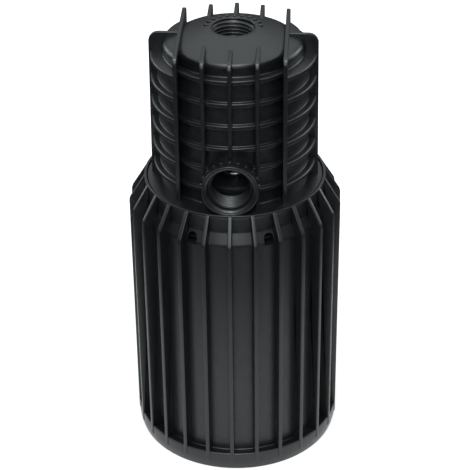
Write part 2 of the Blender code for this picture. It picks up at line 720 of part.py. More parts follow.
def screw_solid(name, size, seat_z, group, parts):
    """Socket-head screw on the axis, its head hanging below a seat."""
    thread_r, head_r, head_height, length = size
    profile = [(0.0, seat_z + length), (thread_r * 0.55, seat_z + length),
               (thread_r, seat_z + length - thread_r * 0.8), (thread_r, seat_z),
               (head_r, seat_z), (head_r, seat_z - head_height), (0.0, seat_z - head_height)]
    solid = turned(name, profile, parts, SMALL)
    socket = rod("socket", head_r * SCREW_SOCKET, seat_z - head_height - CUT,
                 seat_z - head_height * 0.35, group, 6)
    return combine(solid, [socket], "DIFFERENCE")


def screws(prefix, size, seat_z, radius, azimuths, parts, guides):
    """Round pattern of like screws."""
    for number, azimuth in enumerate(azimuths, start=1):
        solid = screw_solid(f"{prefix}_{number}", size, seat_z, guides, parts)
        finish(place(solid, azimuth, radius), "steel")


def seat_plate(parts, guides):
    """Plate with the valve's seat, its O-ring groove and the filter's collar."""
    rim = SEAT_R - GAP
    groove = rim - 2 * ORING_R
    middle = SEAT_Z + SEAT_THICKNESS / 2
    half = ORING_R + GAP
    profile = [(SEAT_LIP_R - EDGE, SEAT_LIP_Z), (SEAT_LIP_R, SEAT_LIP_Z - EDGE),
               (SEAT_LIP_R, SEAT_TOP_Z), (rim, SEAT_TOP_Z), (rim, middle + half),
               (groove, middle + half), (groove, middle - half), (rim, middle - half), (rim, SEAT_Z),
               (COLLAR_R, SEAT_Z), (COLLAR_R, SEAT_Z - COLLAR_DEPTH),
               (COLLAR_R - COLLAR_WALL, SEAT_Z - COLLAR_DEPTH),
               (COLLAR_R - COLLAR_WALL, SEAT_Z - ORIFICE_FUNNEL / 2),
               (ORIFICE_R + ORIFICE_FUNNEL, SEAT_Z), (ORIFICE_R, SEAT_Z + ORIFICE_FUNNEL),
               (ORIFICE_R, SEAT_LIP_Z)]
    plate = turned("seat_plate", profile, parts, COARSE)
    holes = []
    for azimuth in seat_screw_azimuths():
        hole = rod("hole", SEAT_SCREW[0] + GAP, SEAT_Z - CUT, SEAT_TOP_Z + CUT, guides)
        holes.append(place(hole, azimuth, SEAT_SCREW_RADIUS))
    return finish(combine(plate, holes, "DIFFERENCE"), "dark")


def torus(name, major, minor, height, parts, look):
    """Round-section ring about the axis."""
    section = arc((major, height), minor, 90, -270, 6)[:-1]
    return finish(turned(name, section, parts, MEDIUM), look)


def guide_cage(parts, guides):
    """Flange, three legs and a bridge whose hub guides the stem."""
    rim = SEAT_R - GAP
    cage = turned("guide_cage", ring_profile(CAGE_HOLE_R, rim, CAGE_Z, CAGE_TOP_Z), parts, COARSE)
    added = [rod("hub", HUB_R, HUB_Z, BRIDGE_Z + BRIDGE_HEIGHT, guides, HOLE)]
    top = BRIDGE_Z + BRIDGE_HEIGHT - EDGE
    for azimuth in evenly(CAGE_LEGS, 180.0):
        half = CAGE_LEG_WIDTH / 2
        low_r = CAGE_LEG_R - CAGE_LEG_DEPTH / 2
        high_r = CAGE_LEG_R + CAGE_LEG_DEPTH / 2
        leg = box("leg", (low_r, -half, CAGE_Z + EDGE), (high_r, half, top), guides)
        arm = box("arm", (HUB_R * 0.5, -CAGE_ARM_WIDTH / 2, BRIDGE_Z),
                  (high_r - EDGE, CAGE_ARM_WIDTH / 2, top - EDGE), guides)
        added += [place(leg, azimuth), place(arm, azimuth)]
    cage = combine(cage, added, "UNION")
    cuts = [rod("bore", STEM_R + RUN, HUB_Z - CUT, BRIDGE_Z + BRIDGE_HEIGHT + CUT, guides, HOLE)]
    for azimuth in seat_screw_azimuths():
        hole = rod("hole", SEAT_SCREW[0] + GAP, CAGE_Z - CUT, CAGE_TOP_Z + CUT, guides)
        cuts.append(place(hole, azimuth, SEAT_SCREW_RADIUS))
    return finish(combine(cage, cuts, "DIFFERENCE"), "acetal")


# ---------------------------------------------------------------- poppet

def poppet(parts, guides):
    """Moving valve: disc, seal, washer, stem and nut, with the stem's axis as origin."""
    bore = STEM_R + GAP
    disc_r = SEAT_LIP_R + DISC_OVERLAP
    disc = [(disc_r - BROAD_EDGE, PLATE_TOP), (disc_r, PLATE_TOP - BROAD_EDGE),
            (disc_r, PLATE_Z), (bore, PLATE_Z), (bore, PLATE_TOP)]
    finish(turned("poppet_disc", disc, parts, COARSE), "dark")
    seal = ring_profile(SEAL_INNER_R, SEAT_LIP_R + SEAL_OVERLAP, SEAL_Z, SEAL_Z + SEAL_HEIGHT)
    finish(turned("poppet_seal", seal, parts, COARSE), "rubber")
    washer_z = SEAL_Z - GAP - WASHER_HEIGHT
    washer = ring_profile(bore, WASHER_R, washer_z, washer_z + WASHER_HEIGHT)
    finish(turned("seal_washer", washer, parts, COARSE), "steel")
    nut_z = washer_z - GAP - NUT_HEIGHT
    nut = rod("poppet_nut", STEM_R + NUT_WALL, nut_z, nut_z + NUT_HEIGHT, parts, 6)
    hole = rod("hole", bore, nut_z - CUT, nut_z + NUT_HEIGHT + CUT, guides, HOLE)
    finish(combine(nut, [hole], "DIFFERENCE"), "brass")
    tail = nut_z - STEM_TAIL
    top = BRIDGE_Z + BRIDGE_HEIGHT + STEM_OVER_BRIDGE
    collar_r = STEM_R + STEM_COLLAR_STEP
    stem = [(0.0, top), (STEM_R - BROAD_EDGE, top), (STEM_R, top - BROAD_EDGE),
            (STEM_R, STEM_COLLAR_Z + STEM_COLLAR_HEIGHT),
            (collar_r, STEM_COLLAR_Z + STEM_COLLAR_HEIGHT), (collar_r, STEM_COLLAR_Z),
            (STEM_R, STEM_COLLAR_Z), (STEM_R, tail + EDGE), (STEM_R - EDGE, tail), (0.0, tail)]
    finish(turned("poppet_stem", stem, parts, HOLE), "steel")


def spring(parts, guides):
    """Compression spring between the disc and the bridge, with its pad washer."""
    pad_z = BRIDGE_Z - GAP - SPRING_PAD
    pad = ring_profile(HUB_R + GAP, SPRING_R + SPRING_WIRE_R + EDGE, pad_z, pad_z + SPRING_PAD)
    finish(turned("spring_washer", pad, parts, COARSE), "steel")
    low = PLATE_TOP + GAP + SPRING_WIRE_R
    high = pad_z - GAP - SPRING_WIRE_R
    curve = bpy.data.curves.new("spring", "CURVE")
    curve.dimensions = "3D"
    curve.bevel_depth = SPRING_WIRE_R
    curve.bevel_resolution = 2
    curve.use_fill_caps = True
    line = curve.splines.new("POLY")
    closed = SPRING_CLOSED_TURNS
    total = SPRING_TURNS + 2 * closed
    count = total * SPRING_POINTS
    line.points.add(count)
    end_rise = 2 * SPRING_WIRE_R + GAP / 2
    for k in range(count + 1):
        turn = total * k / count
        if turn < closed:
            height = low + end_rise * turn / closed
        elif turn > total - closed:
            height = high - end_rise * (total - turn) / closed
        else:
            share = (turn - closed) / SPRING_TURNS
            height = low + end_rise + (high - low - 2 * end_rise) * share
        angle = 2 * math.pi * turn
        line.points[k].co = (SPRING_R * math.cos(angle), SPRING_R * math.sin(angle), height, 1.0)
    item = new_object("poppet_spring", curve, guides)
    solid = baked(item)
    guides.objects.unlink(solid)
    parts.objects.link(solid)
    finish(solid, "steel", 60.0)


# ---------------------------------------------------------------- filter

def filter_frame(parts, guides):
    """Moulded frame: an end ring at top and bottom, posts and hoops."""
    frame = turned("filter_frame", ring_profile(COLLAR_R + GAP, FILTER_R, FRAME_TOP_Z - FRAME_END_HEIGHT,
                                                FRAME_TOP_Z), parts, COARSE)
    foot_profile = ring_profile(FRAME_BORE, FILTER_R, FRAME_Z, FRAME_Z + FRAME_END_HEIGHT)
    foot = turned("foot", foot_profile, guides, COARSE)
    added = [foot]
    low = FRAME_Z + FRAME_END_HEIGHT
    high = FRAME_TOP_Z - FRAME_END_HEIGHT
    for azimuth in evenly(FRAME_POSTS, 180.0 / FRAME_POSTS):
        half = FRAME_POST_WIDTH / 2
        post = box("post", (FRAME_BORE + EDGE / 2, -half, low - ROOT),
                   (FILTER_R - EDGE / 2, half, high + ROOT), guides)
        added.append(place(post, azimuth))
    for k in range(FRAME_HOOPS):
        middle = low + (high - low) * (k + 1) / (FRAME_HOOPS + 1)
        hoop = turned("hoop", ring_profile(FRAME_BORE + EDGE, FILTER_R - EDGE,
                                           middle - FRAME_HOOP_HEIGHT / 2,
                                           middle + FRAME_HOOP_HEIGHT / 2), guides, COARSE)
        added.append(hoop)
    return finish(combine(frame, added, "UNION"), "acetal")


def filter_pieces(parts, guides):
    """Screen sleeve, top gasket and end cap of the filter."""
    low = FRAME_Z + GAP
    high = FRAME_TOP_Z - FRAME_END_HEIGHT - GAP
    screen = ring_profile(SCREEN_R - SCREEN_WALL, SCREEN_R, low, high)
    finish(turned("filter_screen", screen, parts, COARSE), "steel")
    gasket = ring_profile(COLLAR_R + GAP, FILTER_R, GASKET_Z, GASKET_Z + GASKET_HEIGHT)
    finish(turned("filter_gasket", gasket, parts, COARSE), "rubber")
    lip = SCREEN_R - SCREEN_WALL - GAP
    flange_z = CAP_Z + CAP_HEIGHT
    lip_z = flange_z + CAP_LIP
    cap = [(0.0, lip_z - CAP_HOLLOW), (lip - CAP_LIP_WALL, lip_z - CAP_HOLLOW),
           (lip - CAP_LIP_WALL + EDGE, lip_z), (lip, lip_z), (lip, flange_z), (FILTER_R, flange_z),
           (FILTER_R, CAP_Z + EDGE), (FILTER_R - EDGE, CAP_Z), (0.0, CAP_Z)]
    finish(turned("filter_end_cap", cap, parts, COARSE), "acetal")


def base_grid(parts, guides):
    """Slotted inlet plate in the foot of the canister."""
    rim = CANISTER_BORE - GAP
    cup = GRID_CUP_R - GRID_CUP_WALL
    profile = [(0.0, GRID_TOP_Z), (cup, GRID_TOP_Z), (cup, GRID_TOP_Z + GRID_CUP_HEIGHT),
               (GRID_CUP_R, GRID_TOP_Z + GRID_CUP_HEIGHT), (GRID_CUP_R, GRID_TOP_Z),
               (rim, GRID_TOP_Z), (rim, GRID_Z + EDGE), (rim - EDGE, GRID_Z), (0.0, GRID_Z)]
    plate = turned("base_grid", profile, parts, MEDIUM)
    first = GRID_CUP_R + GRID_BRIDGE
    last = GRID_SCREW_RADIUS - BASE_SCREW[0] - GRID_BRIDGE
    middle = (first + last) / 2
    rows = ((first, middle - GRID_BRIDGE / 2, GRID_INNER_SLOTS),
            (middle + GRID_BRIDGE / 2, last, GRID_OUTER_SLOTS))
    cuts = []
    for inner, outer, count in rows:
        for azimuth in evenly(count, 180.0 / count):
            slot = box("slot", (inner, -GRID_SLOT_WIDTH / 2, GRID_Z - CUT),
                       (outer, GRID_SLOT_WIDTH / 2, GRID_TOP_Z + CUT), guides)
            cuts.append(place(slot, azimuth))
    for azimuth in grid_screw_azimuths():
        hole = rod("hole", BASE_SCREW[0] + GAP, GRID_Z - CUT, GRID_TOP_Z + CUT, guides)
        cuts.append(place(hole, azimuth, GRID_SCREW_RADIUS))
    return finish(combine(plate, cuts, "DIFFERENCE"), "black")


def main():
    """Build the whole valve."""
    clear_scene()
    parts = collection("foot_valve")
    guides = collection("guides")
    upper_housing(parts, guides)
    strainer_canister(parts, guides)
    seat_plate(parts, guides)
    oring_r = SEAT_R - GAP - ORING_R
    torus("seat_oring", oring_r, ORING_R - GAP / 2, SEAT_Z + SEAT_THICKNESS / 2, parts, "rubber")
    guide_cage(parts, guides)
    screws("seat_screw", SEAT_SCREW, SEAT_Z - GAP, SEAT_SCREW_RADIUS, seat_screw_azimuths(), parts, guides)
    poppet(parts, guides)
    spring(parts, guides)
    filter_frame(parts, guides)
    filter_pieces(parts, guides)
    base_grid(parts, guides)
    screws("base_screw", BASE_SCREW, GRID_Z - GAP, GRID_SCREW_RADIUS, grid_screw_azimuths(), parts, guides)


main()
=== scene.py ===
"""Foot valve with its suction strainer: fine surfaces, finishes, studio and camera.

Every length is in metres, Z points up and the side port faces -Y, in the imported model's own frame.
Azimuths are in degrees from the front, positive towards +X.
"""

import logging
import math
from dataclasses import dataclass, field
from enum import Enum

import bmesh
import bpy
import numpy as np
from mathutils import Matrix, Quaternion, Vector


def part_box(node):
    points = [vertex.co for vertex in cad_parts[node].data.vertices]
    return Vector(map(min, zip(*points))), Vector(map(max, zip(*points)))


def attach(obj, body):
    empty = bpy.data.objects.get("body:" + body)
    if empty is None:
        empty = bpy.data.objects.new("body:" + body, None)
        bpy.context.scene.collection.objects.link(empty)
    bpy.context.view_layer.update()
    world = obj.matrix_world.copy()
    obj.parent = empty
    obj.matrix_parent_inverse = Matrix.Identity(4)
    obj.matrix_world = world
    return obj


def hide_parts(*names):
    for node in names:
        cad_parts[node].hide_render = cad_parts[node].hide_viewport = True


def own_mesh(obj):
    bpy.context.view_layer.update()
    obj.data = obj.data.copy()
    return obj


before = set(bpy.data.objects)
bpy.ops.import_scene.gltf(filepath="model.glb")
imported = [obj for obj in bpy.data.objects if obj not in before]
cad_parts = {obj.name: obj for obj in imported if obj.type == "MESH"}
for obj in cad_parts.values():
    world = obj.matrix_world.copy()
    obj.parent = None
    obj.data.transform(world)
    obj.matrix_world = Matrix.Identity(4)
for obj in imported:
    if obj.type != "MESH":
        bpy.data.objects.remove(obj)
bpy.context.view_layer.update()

WELD = 1e-7              # points closer than this are one
SKY_STRENGTH = 1.8
WINDOW_AZIMUTH = 23.2
RING_COUNT = 5           # below the highest ring
RING_PITCH = 0.0115
RIB_DEPTH = 0.0055
SHELL_STEP = 0.0112      # from the canister's wall in to the housing's
DISC_DROP = 0.0006       # from the rim's top to the flange disc
LOWEST_RING_RISE = 0.0097
DOME_RISE = 0.0123
PORT_RISE = 0.0130

log = logging.getLogger("foot_valve")


# ---------------------------------------------------------------- shells worked out as arrays

@dataclass
class Shell:
    """Closed surface: an array of points, and arrays of faces that each hold point numbers.

    Attributes:
        points: (n, 3) places of the points.
        faces: arrays of shape (k, corners), one for each number of corners.
    """

    points: np.ndarray
    faces: list[np.ndarray]

    def volume(self) -> float:
        """Signed volume: the sum over fan triangles of a . (b x c) / 6, positive if faces look out."""
        total = 0.0
        for rows in self.faces:
            first = self.points[rows[:, 0]]
            for k in range(1, rows.shape[1] - 1):
                pair = np.cross(self.points[rows[:, k]], self.points[rows[:, k + 1]])
                total += float((first * pair).sum()) / 6.0
        return total

    def outward(self) -> "Shell":
        """Same shell with its faces turned to look outwards."""
        if self.volume() >= 0.0:
            return self
        return Shell(self.points, [rows[:, ::-1] for rows in self.faces])

    def moved(self, matrix: np.ndarray, offset: tuple[float, float, float] = (0.0, 0.0, 0.0)) -> "Shell":
        """Copy with every point p carried to matrix p + offset."""
        return Shell(self.points @ np.asarray(matrix).T + np.asarray(offset), list(self.faces)).outward()

    @staticmethod
    def joined(shells: "list[Shell]") -> "Shell":
        """One shell that holds several, their points stacked and their faces renumbered to suit."""
        starts = np.cumsum([0] + [len(shell.points) for shell in shells[:-1]])
        faces = [rows + start for shell, start in zip(shells, starts) for rows in shell.faces]
        return Shell(np.concatenate([shell.points for shell in shells]), faces)


def weave(rows: int, columns: int, close_rows: bool, close_columns: bool) -> np.ndarray:
    """Quads between neighbouring points of a grid.

    Args:
        rows: number of rows of points.
        columns: number of points in a row.
        close_rows: True if the last row joins the first.
        close_columns: True if a row's last point joins its first.

    Returns:
        (k, 4) point numbers, each quad taking a point, the one below, the one diagonal and the one beside.
    """
    number = np.arange(rows * columns).reshape(rows, columns)
    if close_rows:
        number = np.vstack([number, number[:1]])
    if close_columns:
        number = np.hstack([number, number[:, :1]])
    corners = [number[:-1, :-1], number[1:, :-1], number[1:, 1:], number[:-1, 1:]]
    return np.stack(corners, axis=-1).reshape(-1, 4)


def rounded(outline: np.ndarray, radius: float | np.ndarray, steps: int = 3,
            closed: bool = True) -> np.ndarray:
    """Outline with every corner eased.

    A corner C between tangent points A and B becomes the curve (1-s)^2 A + 2s(1-s) C + s^2 B, with A and
    B a radius away from C along its two sides, or 45% of the shorter side if that is less.

    Args:
        outline: (n, 2) corners.
        radius: how far from each corner the easing starts, one number or one for each corner.
        steps: segments to a corner.
        closed: False keeps the first and last point of an open outline as they are.

    Returns:
        (m, 2) points of the eased outline.
    """
    outline = np.asarray(outline, float)
    back = np.roll(outline, 1, axis=0) - outline
    ahead = np.roll(outline, -1, axis=0) - outline
    back_length = np.linalg.norm(back, axis=1)
    ahead_length = np.linalg.norm(ahead, axis=1)
    if not closed:
        back_length[0] = ahead_length[0]
        ahead_length[-1] = back_length[-1]
    cut = np.minimum(radius, 0.45 * np.minimum(back_length, ahead_length))[:, None]
    start = outline + back / np.maximum(np.linalg.norm(back, axis=1), 1e-12)[:, None] * cut
    end = outline + ahead / np.maximum(np.linalg.norm(ahead, axis=1), 1e-12)[:, None] * cut
    share = np.linspace(0.0, 1.0, steps + 1)[None, :, None]
    curve = ((1 - share) ** 2 * start[:, None] + 2 * share * (1 - share) * outline[:, None]
             + share ** 2 * end[:, None])
    if closed:
        return curve.reshape(-1, 2)
    return np.concatenate([outline[:1], curve[1:-1].reshape(-1, 2), outline[-1:]])


def revolve(section: np.ndarray, columns: int = 192) -> Shell:
    """Ring about Z: point (r, z) of a closed section goes to (r cos a, r sin a, z), a once round."""
    angle = np.linspace(0.0, 2 * np.pi, columns, endpoint=False)
    radius, height = section[:, 0, None], section[:, 1, None]
    points = np.stack([radius * np.cos(angle), radius * np.sin(angle), height + 0 * angle], axis=-1)
    return Shell(points.reshape(-1, 3), [weave(len(section), columns, True, True)]).outward()


def slab(outline: np.ndarray, thickness: float, edge: float, steps: int = 3) -> Shell:
    """Flat piece with rounded rims.

    The outline is repeated in layers across the thickness. A layer at angle t of a rim is drawn in by
    edge (1 - sin t) along the mitre of its corners and lies edge (1 - cos t) in from the face.

    Args:
        outline: (n, 2) closed outline, anticlockwise.
        thickness: from face to face, centred on the outline's plane.
        edge: radius of the rims.
        steps: segments to a rim.

    Returns:
        Shell whose third coordinate is across the thickness.
    """
    side = np.roll(outline, -1, axis=0) - outline
    side /= np.linalg.norm(side, axis=1)[:, None]
    normal = np.stack([side[:, 1], -side[:, 0]], axis=1)
    before = np.roll(normal, 1, axis=0)
    mitre = (normal + before) / np.maximum(1.0 + (normal * before).sum(axis=1), 0.25)[:, None]
    turn = np.linspace(0.0, np.pi / 2, steps + 1)
    inset = edge * (1 - np.sin(turn))
    level = -thickness / 2 + edge * (1 - np.cos(turn))
    inset = np.concatenate([inset, inset[::-1]])
    level = np.concatenate([level, -level[::-1]])
    flat = outline[None] - mitre[None] * inset[:, None, None]
    depth = np.broadcast_to(level[:, None, None], flat.shape[:2] + (1,))
    points = np.concatenate([flat, depth], axis=-1).reshape(-1, 3)
    count = len(outline)
    low = np.arange(count)[None]
    high = (np.arange(count) + count * (len(level) - 1))[None, ::-1]
    rims = weave(len(level), count, False, True)
    return Shell(points, [rims[:, ::-1], low[:, ::-1], high[:, ::-1]]).outward()


def upright(azimuth: float) -> np.ndarray:
    """Matrix that stands a slab up: its x goes outwards at an azimuth, its y upwards, its z sideways."""
    angle = math.radians(azimuth - 90.0)
    out = (math.cos(angle), math.sin(angle), 0.0)
    aside = (math.sin(angle), -math.cos(angle), 0.0)
    return np.array([out, (0.0, 0.0, 1.0), aside]).T


def radial(azimuth: float) -> np.ndarray:
    """Matrix that turns X to point outwards at an azimuth and keeps Z."""
    angle = math.radians(azimuth - 90.0)
    return np.array([[math.cos(angle), -math.sin(angle), 0.0],
                     [math.sin(angle), math.cos(angle), 0.0],
                     [0.0, 0.0, 1.0]])


def window_azimuths() -> list[float]:
    """Azimuths of the four snap windows, two in front and two behind."""
    return [WINDOW_AZIMUTH, -WINDOW_AZIMUTH, 180.0 - WINDOW_AZIMUTH, 180.0 + WINDOW_AZIMUTH]


FACING_FRONT = np.array([[1.0, 0.0, 0.0], [0.0, 0.0, -1.0], [0.0, 1.0, 0.0]])


def helix_tube(radius: float, wire: float, heights: np.ndarray, turns: np.ndarray, sides: int = 12) -> Shell:
    """Round wire wound about Z.

    At turn t the wire's middle is (R cos 2pi t, R sin 2pi t, h(t)); its section is a circle of the
    wire's radius in the plane of the outward direction and Z.

    Args:
        radius: of the coil's middle line.
        wire: radius of the wire.
        heights: height of the middle line at each turn value.
        turns: rising turn values, in whole turns.
        sides: points round the wire.

    Returns:
        Tube with flat ends.
    """
    angle = 2 * np.pi * turns[:, None]
    around = np.linspace(0.0, 2 * np.pi, sides, endpoint=False)[None]
    reach = radius + wire * np.cos(around)
    height = heights[:, None] + wire * np.sin(around)
    points = np.stack([reach * np.cos(angle), reach * np.sin(angle), height + 0 * angle], axis=-1)
    first = np.arange(sides)[None]
    last = (np.arange(sides) + sides * (len(turns) - 1))[None, ::-1]
    return Shell(points.reshape(-1, 3), [weave(len(turns), sides, False, True), first, last])


def thread_sleeve(minor: float, major: float, pitch: float, low: float, high: float, backing: float) -> Shell:
    """Sleeve about Z with an internal screw thread.

    The inner radius is minor + (major - minor) w, where w is a rounded saw of z / pitch - a / 2pi: the
    cosine wave pushed through a sine so that flanks are straight and crests narrow. It fades into the
    major radius at both ends, as a lead-in does.

    Args:
        minor: radius at the crests of the inner thread.
        major: radius at its roots.
        pitch: rise of one turn.
        low: lower end.
        high: upper end.
        backing: radius of the sleeve's outside.

    Returns:
        Closed sleeve.
    """
    columns = 96
    rows = max(8, int((high - low) / pitch * 14))
    height = np.linspace(high, low, rows)[:, None]
    angle = np.linspace(0.0, 2 * np.pi, columns, endpoint=False)[None]
    phase = 2 * np.pi * (height / pitch - angle / (2 * np.pi))
    wave = 0.5 + np.arcsin(0.94 * np.cos(phase)) / (2 * math.asin(0.94))
    lead = pitch * 0.7
    fade = np.clip((high - height) / lead, 0, 1) * np.clip((height - low) / lead, 0, 1)
    inner = major - (major - minor) * wave * fade
    reach = np.concatenate([inner, np.full((2, columns), backing)])
    level = np.concatenate([height + 0 * angle, np.full((1, columns), low), np.full((1, columns), high)])
    points = np.stack([reach * np.cos(angle), reach * np.sin(angle), level], axis=-1)
    return Shell(points.reshape(-1, 3), [weave(rows + 2, columns, True, True)]).outward()


def block(size: tuple[float, float, float], edge: float, centre: tuple[float, float, float]) -> Shell:
    """Small rounded block, its faces square to the axes.

    Args:
        size: along X, Y and Z.
        edge: radius of its edges.
        centre: its middle.

    Returns:
        Closed block.
    """
    x, y, z = size
    corners = np.array([(-x / 2, -y / 2), (x / 2, -y / 2), (x / 2, y / 2), (-x / 2, y / 2)])
    return slab(rounded(corners, edge, 2), z, edge, 2).moved(np.eye(3), centre)


# ---------------------------------------------------------------- finishes

class Slot(Enum):
    """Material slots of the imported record."""

    HOUSING = "housing_plastic"
    CANISTER = "canister_plastic"
    DARK = "dark_plastic"
    NATURAL = "natural_plastic"
    RUBBER = "seal_rubber"
    STEEL = "steel"
    SCREEN = "screen_steel"
    BRASS = "brass"


class Surface(Enum):
    """Fine pattern that a finish carries."""

    MOULDED = "moulded"
    TURNED = "turned"
    WOVEN = "woven"


@dataclass(frozen=True)
class Finish:
    """Look of one material.

    Attributes:
        name: material's name.
        colour: base colour, linear.
        other: second colour that soft clouds bring in.
        roughness: least and most roughness.
        metallic: 0 or 1.
        grain: size of the fine grain, in metres.
        relief: depth of the fine grain, in metres.
        cloud: size of the soft clouds, in metres.
        surface: pattern of the grain.
        specular: specular level.
    """

    name: str
    colour: tuple[float, float, float]
    other: tuple[float, float, float]
    roughness: tuple[float, float]
    metallic: float = 0.0
    grain: float = 0.0005
    relief: float = 0.00002
    cloud: float = 0.03
    surface: Surface = Surface.MOULDED
    specular: float = 0.5

    def build(self) -> bpy.types.Material:
        """Make the material: soft clouds mix the colours, fine noise the roughness, and a grain the bump."""
        made = bpy.data.materials.new(self.name)
        made.use_nodes = True
        tree = made.node_tree
        shader = tree.nodes["Principled BSDF"]
        shader.inputs["Metallic"].default_value = self.metallic
        shader.inputs["Specular IOR Level"].default_value = self.specular
        place = tree.nodes.new("ShaderNodeTexCoord").outputs["Object"]
        clouds = self._noise(tree, place, self.cloud, 4.0)
        colour = tree.nodes.new("ShaderNodeMix")
        colour.data_type = "RGBA"
        colour.inputs["A"].default_value = (*self.colour, 1.0)
        colour.inputs["B"].default_value = (*self.other, 1.0)
        tree.links.new(self._spread(tree, clouds, 0.0, 1.0), colour.inputs["Factor"])
        tree.links.new(colour.outputs["Result"], shader.inputs["Base Color"])
        fine = self._noise(tree, place, self.grain * 6, 3.0)
        tree.links.new(self._spread(tree, fine, *self.roughness), shader.inputs["Roughness"])
        bump = tree.nodes.new("ShaderNodeBump")
        bump.inputs["Distance"].default_value = self.relief
        bump.inputs["Strength"].default_value = 1.0
        tree.links.new(self._relief(tree, place), bump.inputs["Height"])
        tree.links.new(bump.outputs["Normal"], shader.inputs["Normal"])
        return made

    def _noise(self, tree: bpy.types.NodeTree, place: bpy.types.NodeSocket, size: float,
               detail: float) -> bpy.types.NodeSocket:
        """Noise whose lumps have about the given size in metres."""
        noise = tree.nodes.new("ShaderNodeTexNoise")
        noise.inputs["Scale"].default_value = 1.0 / size
        noise.inputs["Detail"].default_value = detail
        tree.links.new(place, noise.inputs["Vector"])
        return noise.outputs["Fac"]

    def _spread(self, tree: bpy.types.NodeTree, value: bpy.types.NodeSocket, low: float,
                high: float) -> bpy.types.NodeSocket:
        """Noise value's usual range, 0.35 to 0.65, stretched to low and high."""
        spread = tree.nodes.new("ShaderNodeMapRange")
        spread.inputs["From Min"].default_value = 0.35
        spread.inputs["From Max"].default_value = 0.65
        spread.inputs["To Min"].default_value = low
        spread.inputs["To Max"].default_value = high
        tree.links.new(value, spread.inputs["Value"])
        return spread.outputs["Result"]

    def _relief(self, tree: bpy.types.NodeTree, place: bpy.types.NodeSocket) -> bpy.types.NodeSocket:
        """Height of the grain: plain noise, turning rings along Z, or the two sets of a weave's wires."""
        if self.surface is Surface.MOULDED:
            return self._noise(tree, place, self.grain, 2.0)
        bands = tree.nodes.new("ShaderNodeTexWave")
        bands.wave_type = "BANDS"
        bands.bands_direction = "Z"
        bands.inputs["Scale"].default_value = 0.3 / self.grain
        bands.inputs["Distortion"].default_value = 1.5 if self.surface is Surface.TURNED else 0.0
        tree.links.new(place, bands.inputs["Vector"])
        if self.surface is Surface.TURNED:
            return bands.outputs["Fac"]
        spokes = tree.nodes.new("ShaderNodeTexWave")
        spokes.wave_type = "BANDS"
        spokes.bands_direction = "DIAGONAL"
        spokes.inputs["Scale"].default_value = 0.3 / self.grain
        tree.links.new(place, spokes.inputs["Vector"])
        both = tree.nodes.new("ShaderNodeMath")
        both.operation = "MAXIMUM"
        tree.links.new(bands.outputs["Fac"], both.inputs[0])
        tree.links.new(spokes.outputs["Fac"], both.inputs[1])
        return both.outputs["Value"]


FINISHES = {
    Slot.HOUSING: Finish("housing_satin_black", (0.0026, 0.0032, 0.0036), (0.0040, 0.0048, 0.0053),
                         (0.30, 0.40), grain=0.00045, relief=0.000006),
    Slot.CANISTER: Finish("canister_satin_black", (0.0026, 0.0032, 0.0036), (0.0042, 0.0050, 0.0055),
                          (0.32, 0.42), grain=0.00050, relief=0.000008),
    Slot.DARK: Finish("seat_dark_plastic", (0.016, 0.017, 0.019), (0.024, 0.025, 0.027), (0.38, 0.50)),
    Slot.NATURAL: Finish("natural_acetal", (0.74, 0.73, 0.69), (0.80, 0.79, 0.75), (0.34, 0.46), cloud=0.02),
    Slot.RUBBER: Finish("seal_rubber", (0.010, 0.010, 0.010), (0.018, 0.018, 0.018), (0.62, 0.78),
                        grain=0.0003, relief=0.000015),
    Slot.STEEL: Finish("turned_steel", (0.56, 0.57, 0.58), (0.66, 0.66, 0.66), (0.22, 0.34), 1.0,
                       grain=0.0004, relief=0.000004, surface=Surface.TURNED),
    Slot.SCREEN: Finish("woven_steel", (0.46, 0.47, 0.48), (0.60, 0.60, 0.60), (0.28, 0.42), 1.0,
                        grain=0.0005, relief=0.00012, surface=Surface.WOVEN),
    Slot.BRASS: Finish("turned_brass", (0.70, 0.50, 0.22), (0.78, 0.60, 0.32), (0.24, 0.36), 1.0,
                       grain=0.0004, relief=0.000004, surface=Surface.TURNED),
}


class Paint:
    """Keeps one built material for each slot."""

    def __init__(self) -> None:
        """Start with no material built."""
        self._built: dict[Slot, bpy.types.Material] = {}

    def of(self, slot: Slot) -> bpy.types.Material:
        """Material of a slot, built the first time it is asked for."""
        if slot not in self._built:
            self._built[slot] = FINISHES[slot].build()
        return self._built[slot]


# ---------------------------------------------------------------- pieces

def mesh_of(name: str, shell: Shell) -> bpy.types.Mesh:
    """Put a shell into a mesh, its doubled points merged.

    Args:
        name: mesh's name.
        shell: closed surface, its faces outward.

    Returns:
        The mesh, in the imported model's frame.
    """
    mesh = bpy.data.meshes.new(name)
    corners = np.concatenate([rows.ravel() for rows in shell.faces]).astype(np.int32)
    counts = np.concatenate([np.full(len(rows), rows.shape[1]) for rows in shell.faces])
    mesh.vertices.add(len(shell.points))
    mesh.vertices.foreach_set("co", shell.points.astype(np.float32).ravel())
    mesh.loops.add(len(corners))
    mesh.loops.foreach_set("vertex_index", corners)
    mesh.polygons.add(len(counts))
    mesh.polygons.foreach_set("loop_start", np.concatenate([[0], np.cumsum(counts)[:-1]]).astype(np.int32))
    mesh.update(calc_edges=True)
    work = bmesh.new()
    work.from_mesh(mesh)
    bmesh.ops.remove_doubles(work, verts=work.verts, dist=WELD)
    work.to_mesh(mesh)
    work.free()
    mesh.validate()
    return mesh


def shaded(mesh: bpy.types.Mesh, angle: float) -> None:
    """Shade a mesh smooth, with edges sharper than an angle in degrees left sharp."""
    mesh.shade_smooth()
    mesh.set_sharp_from_angle(angle=math.radians(angle))


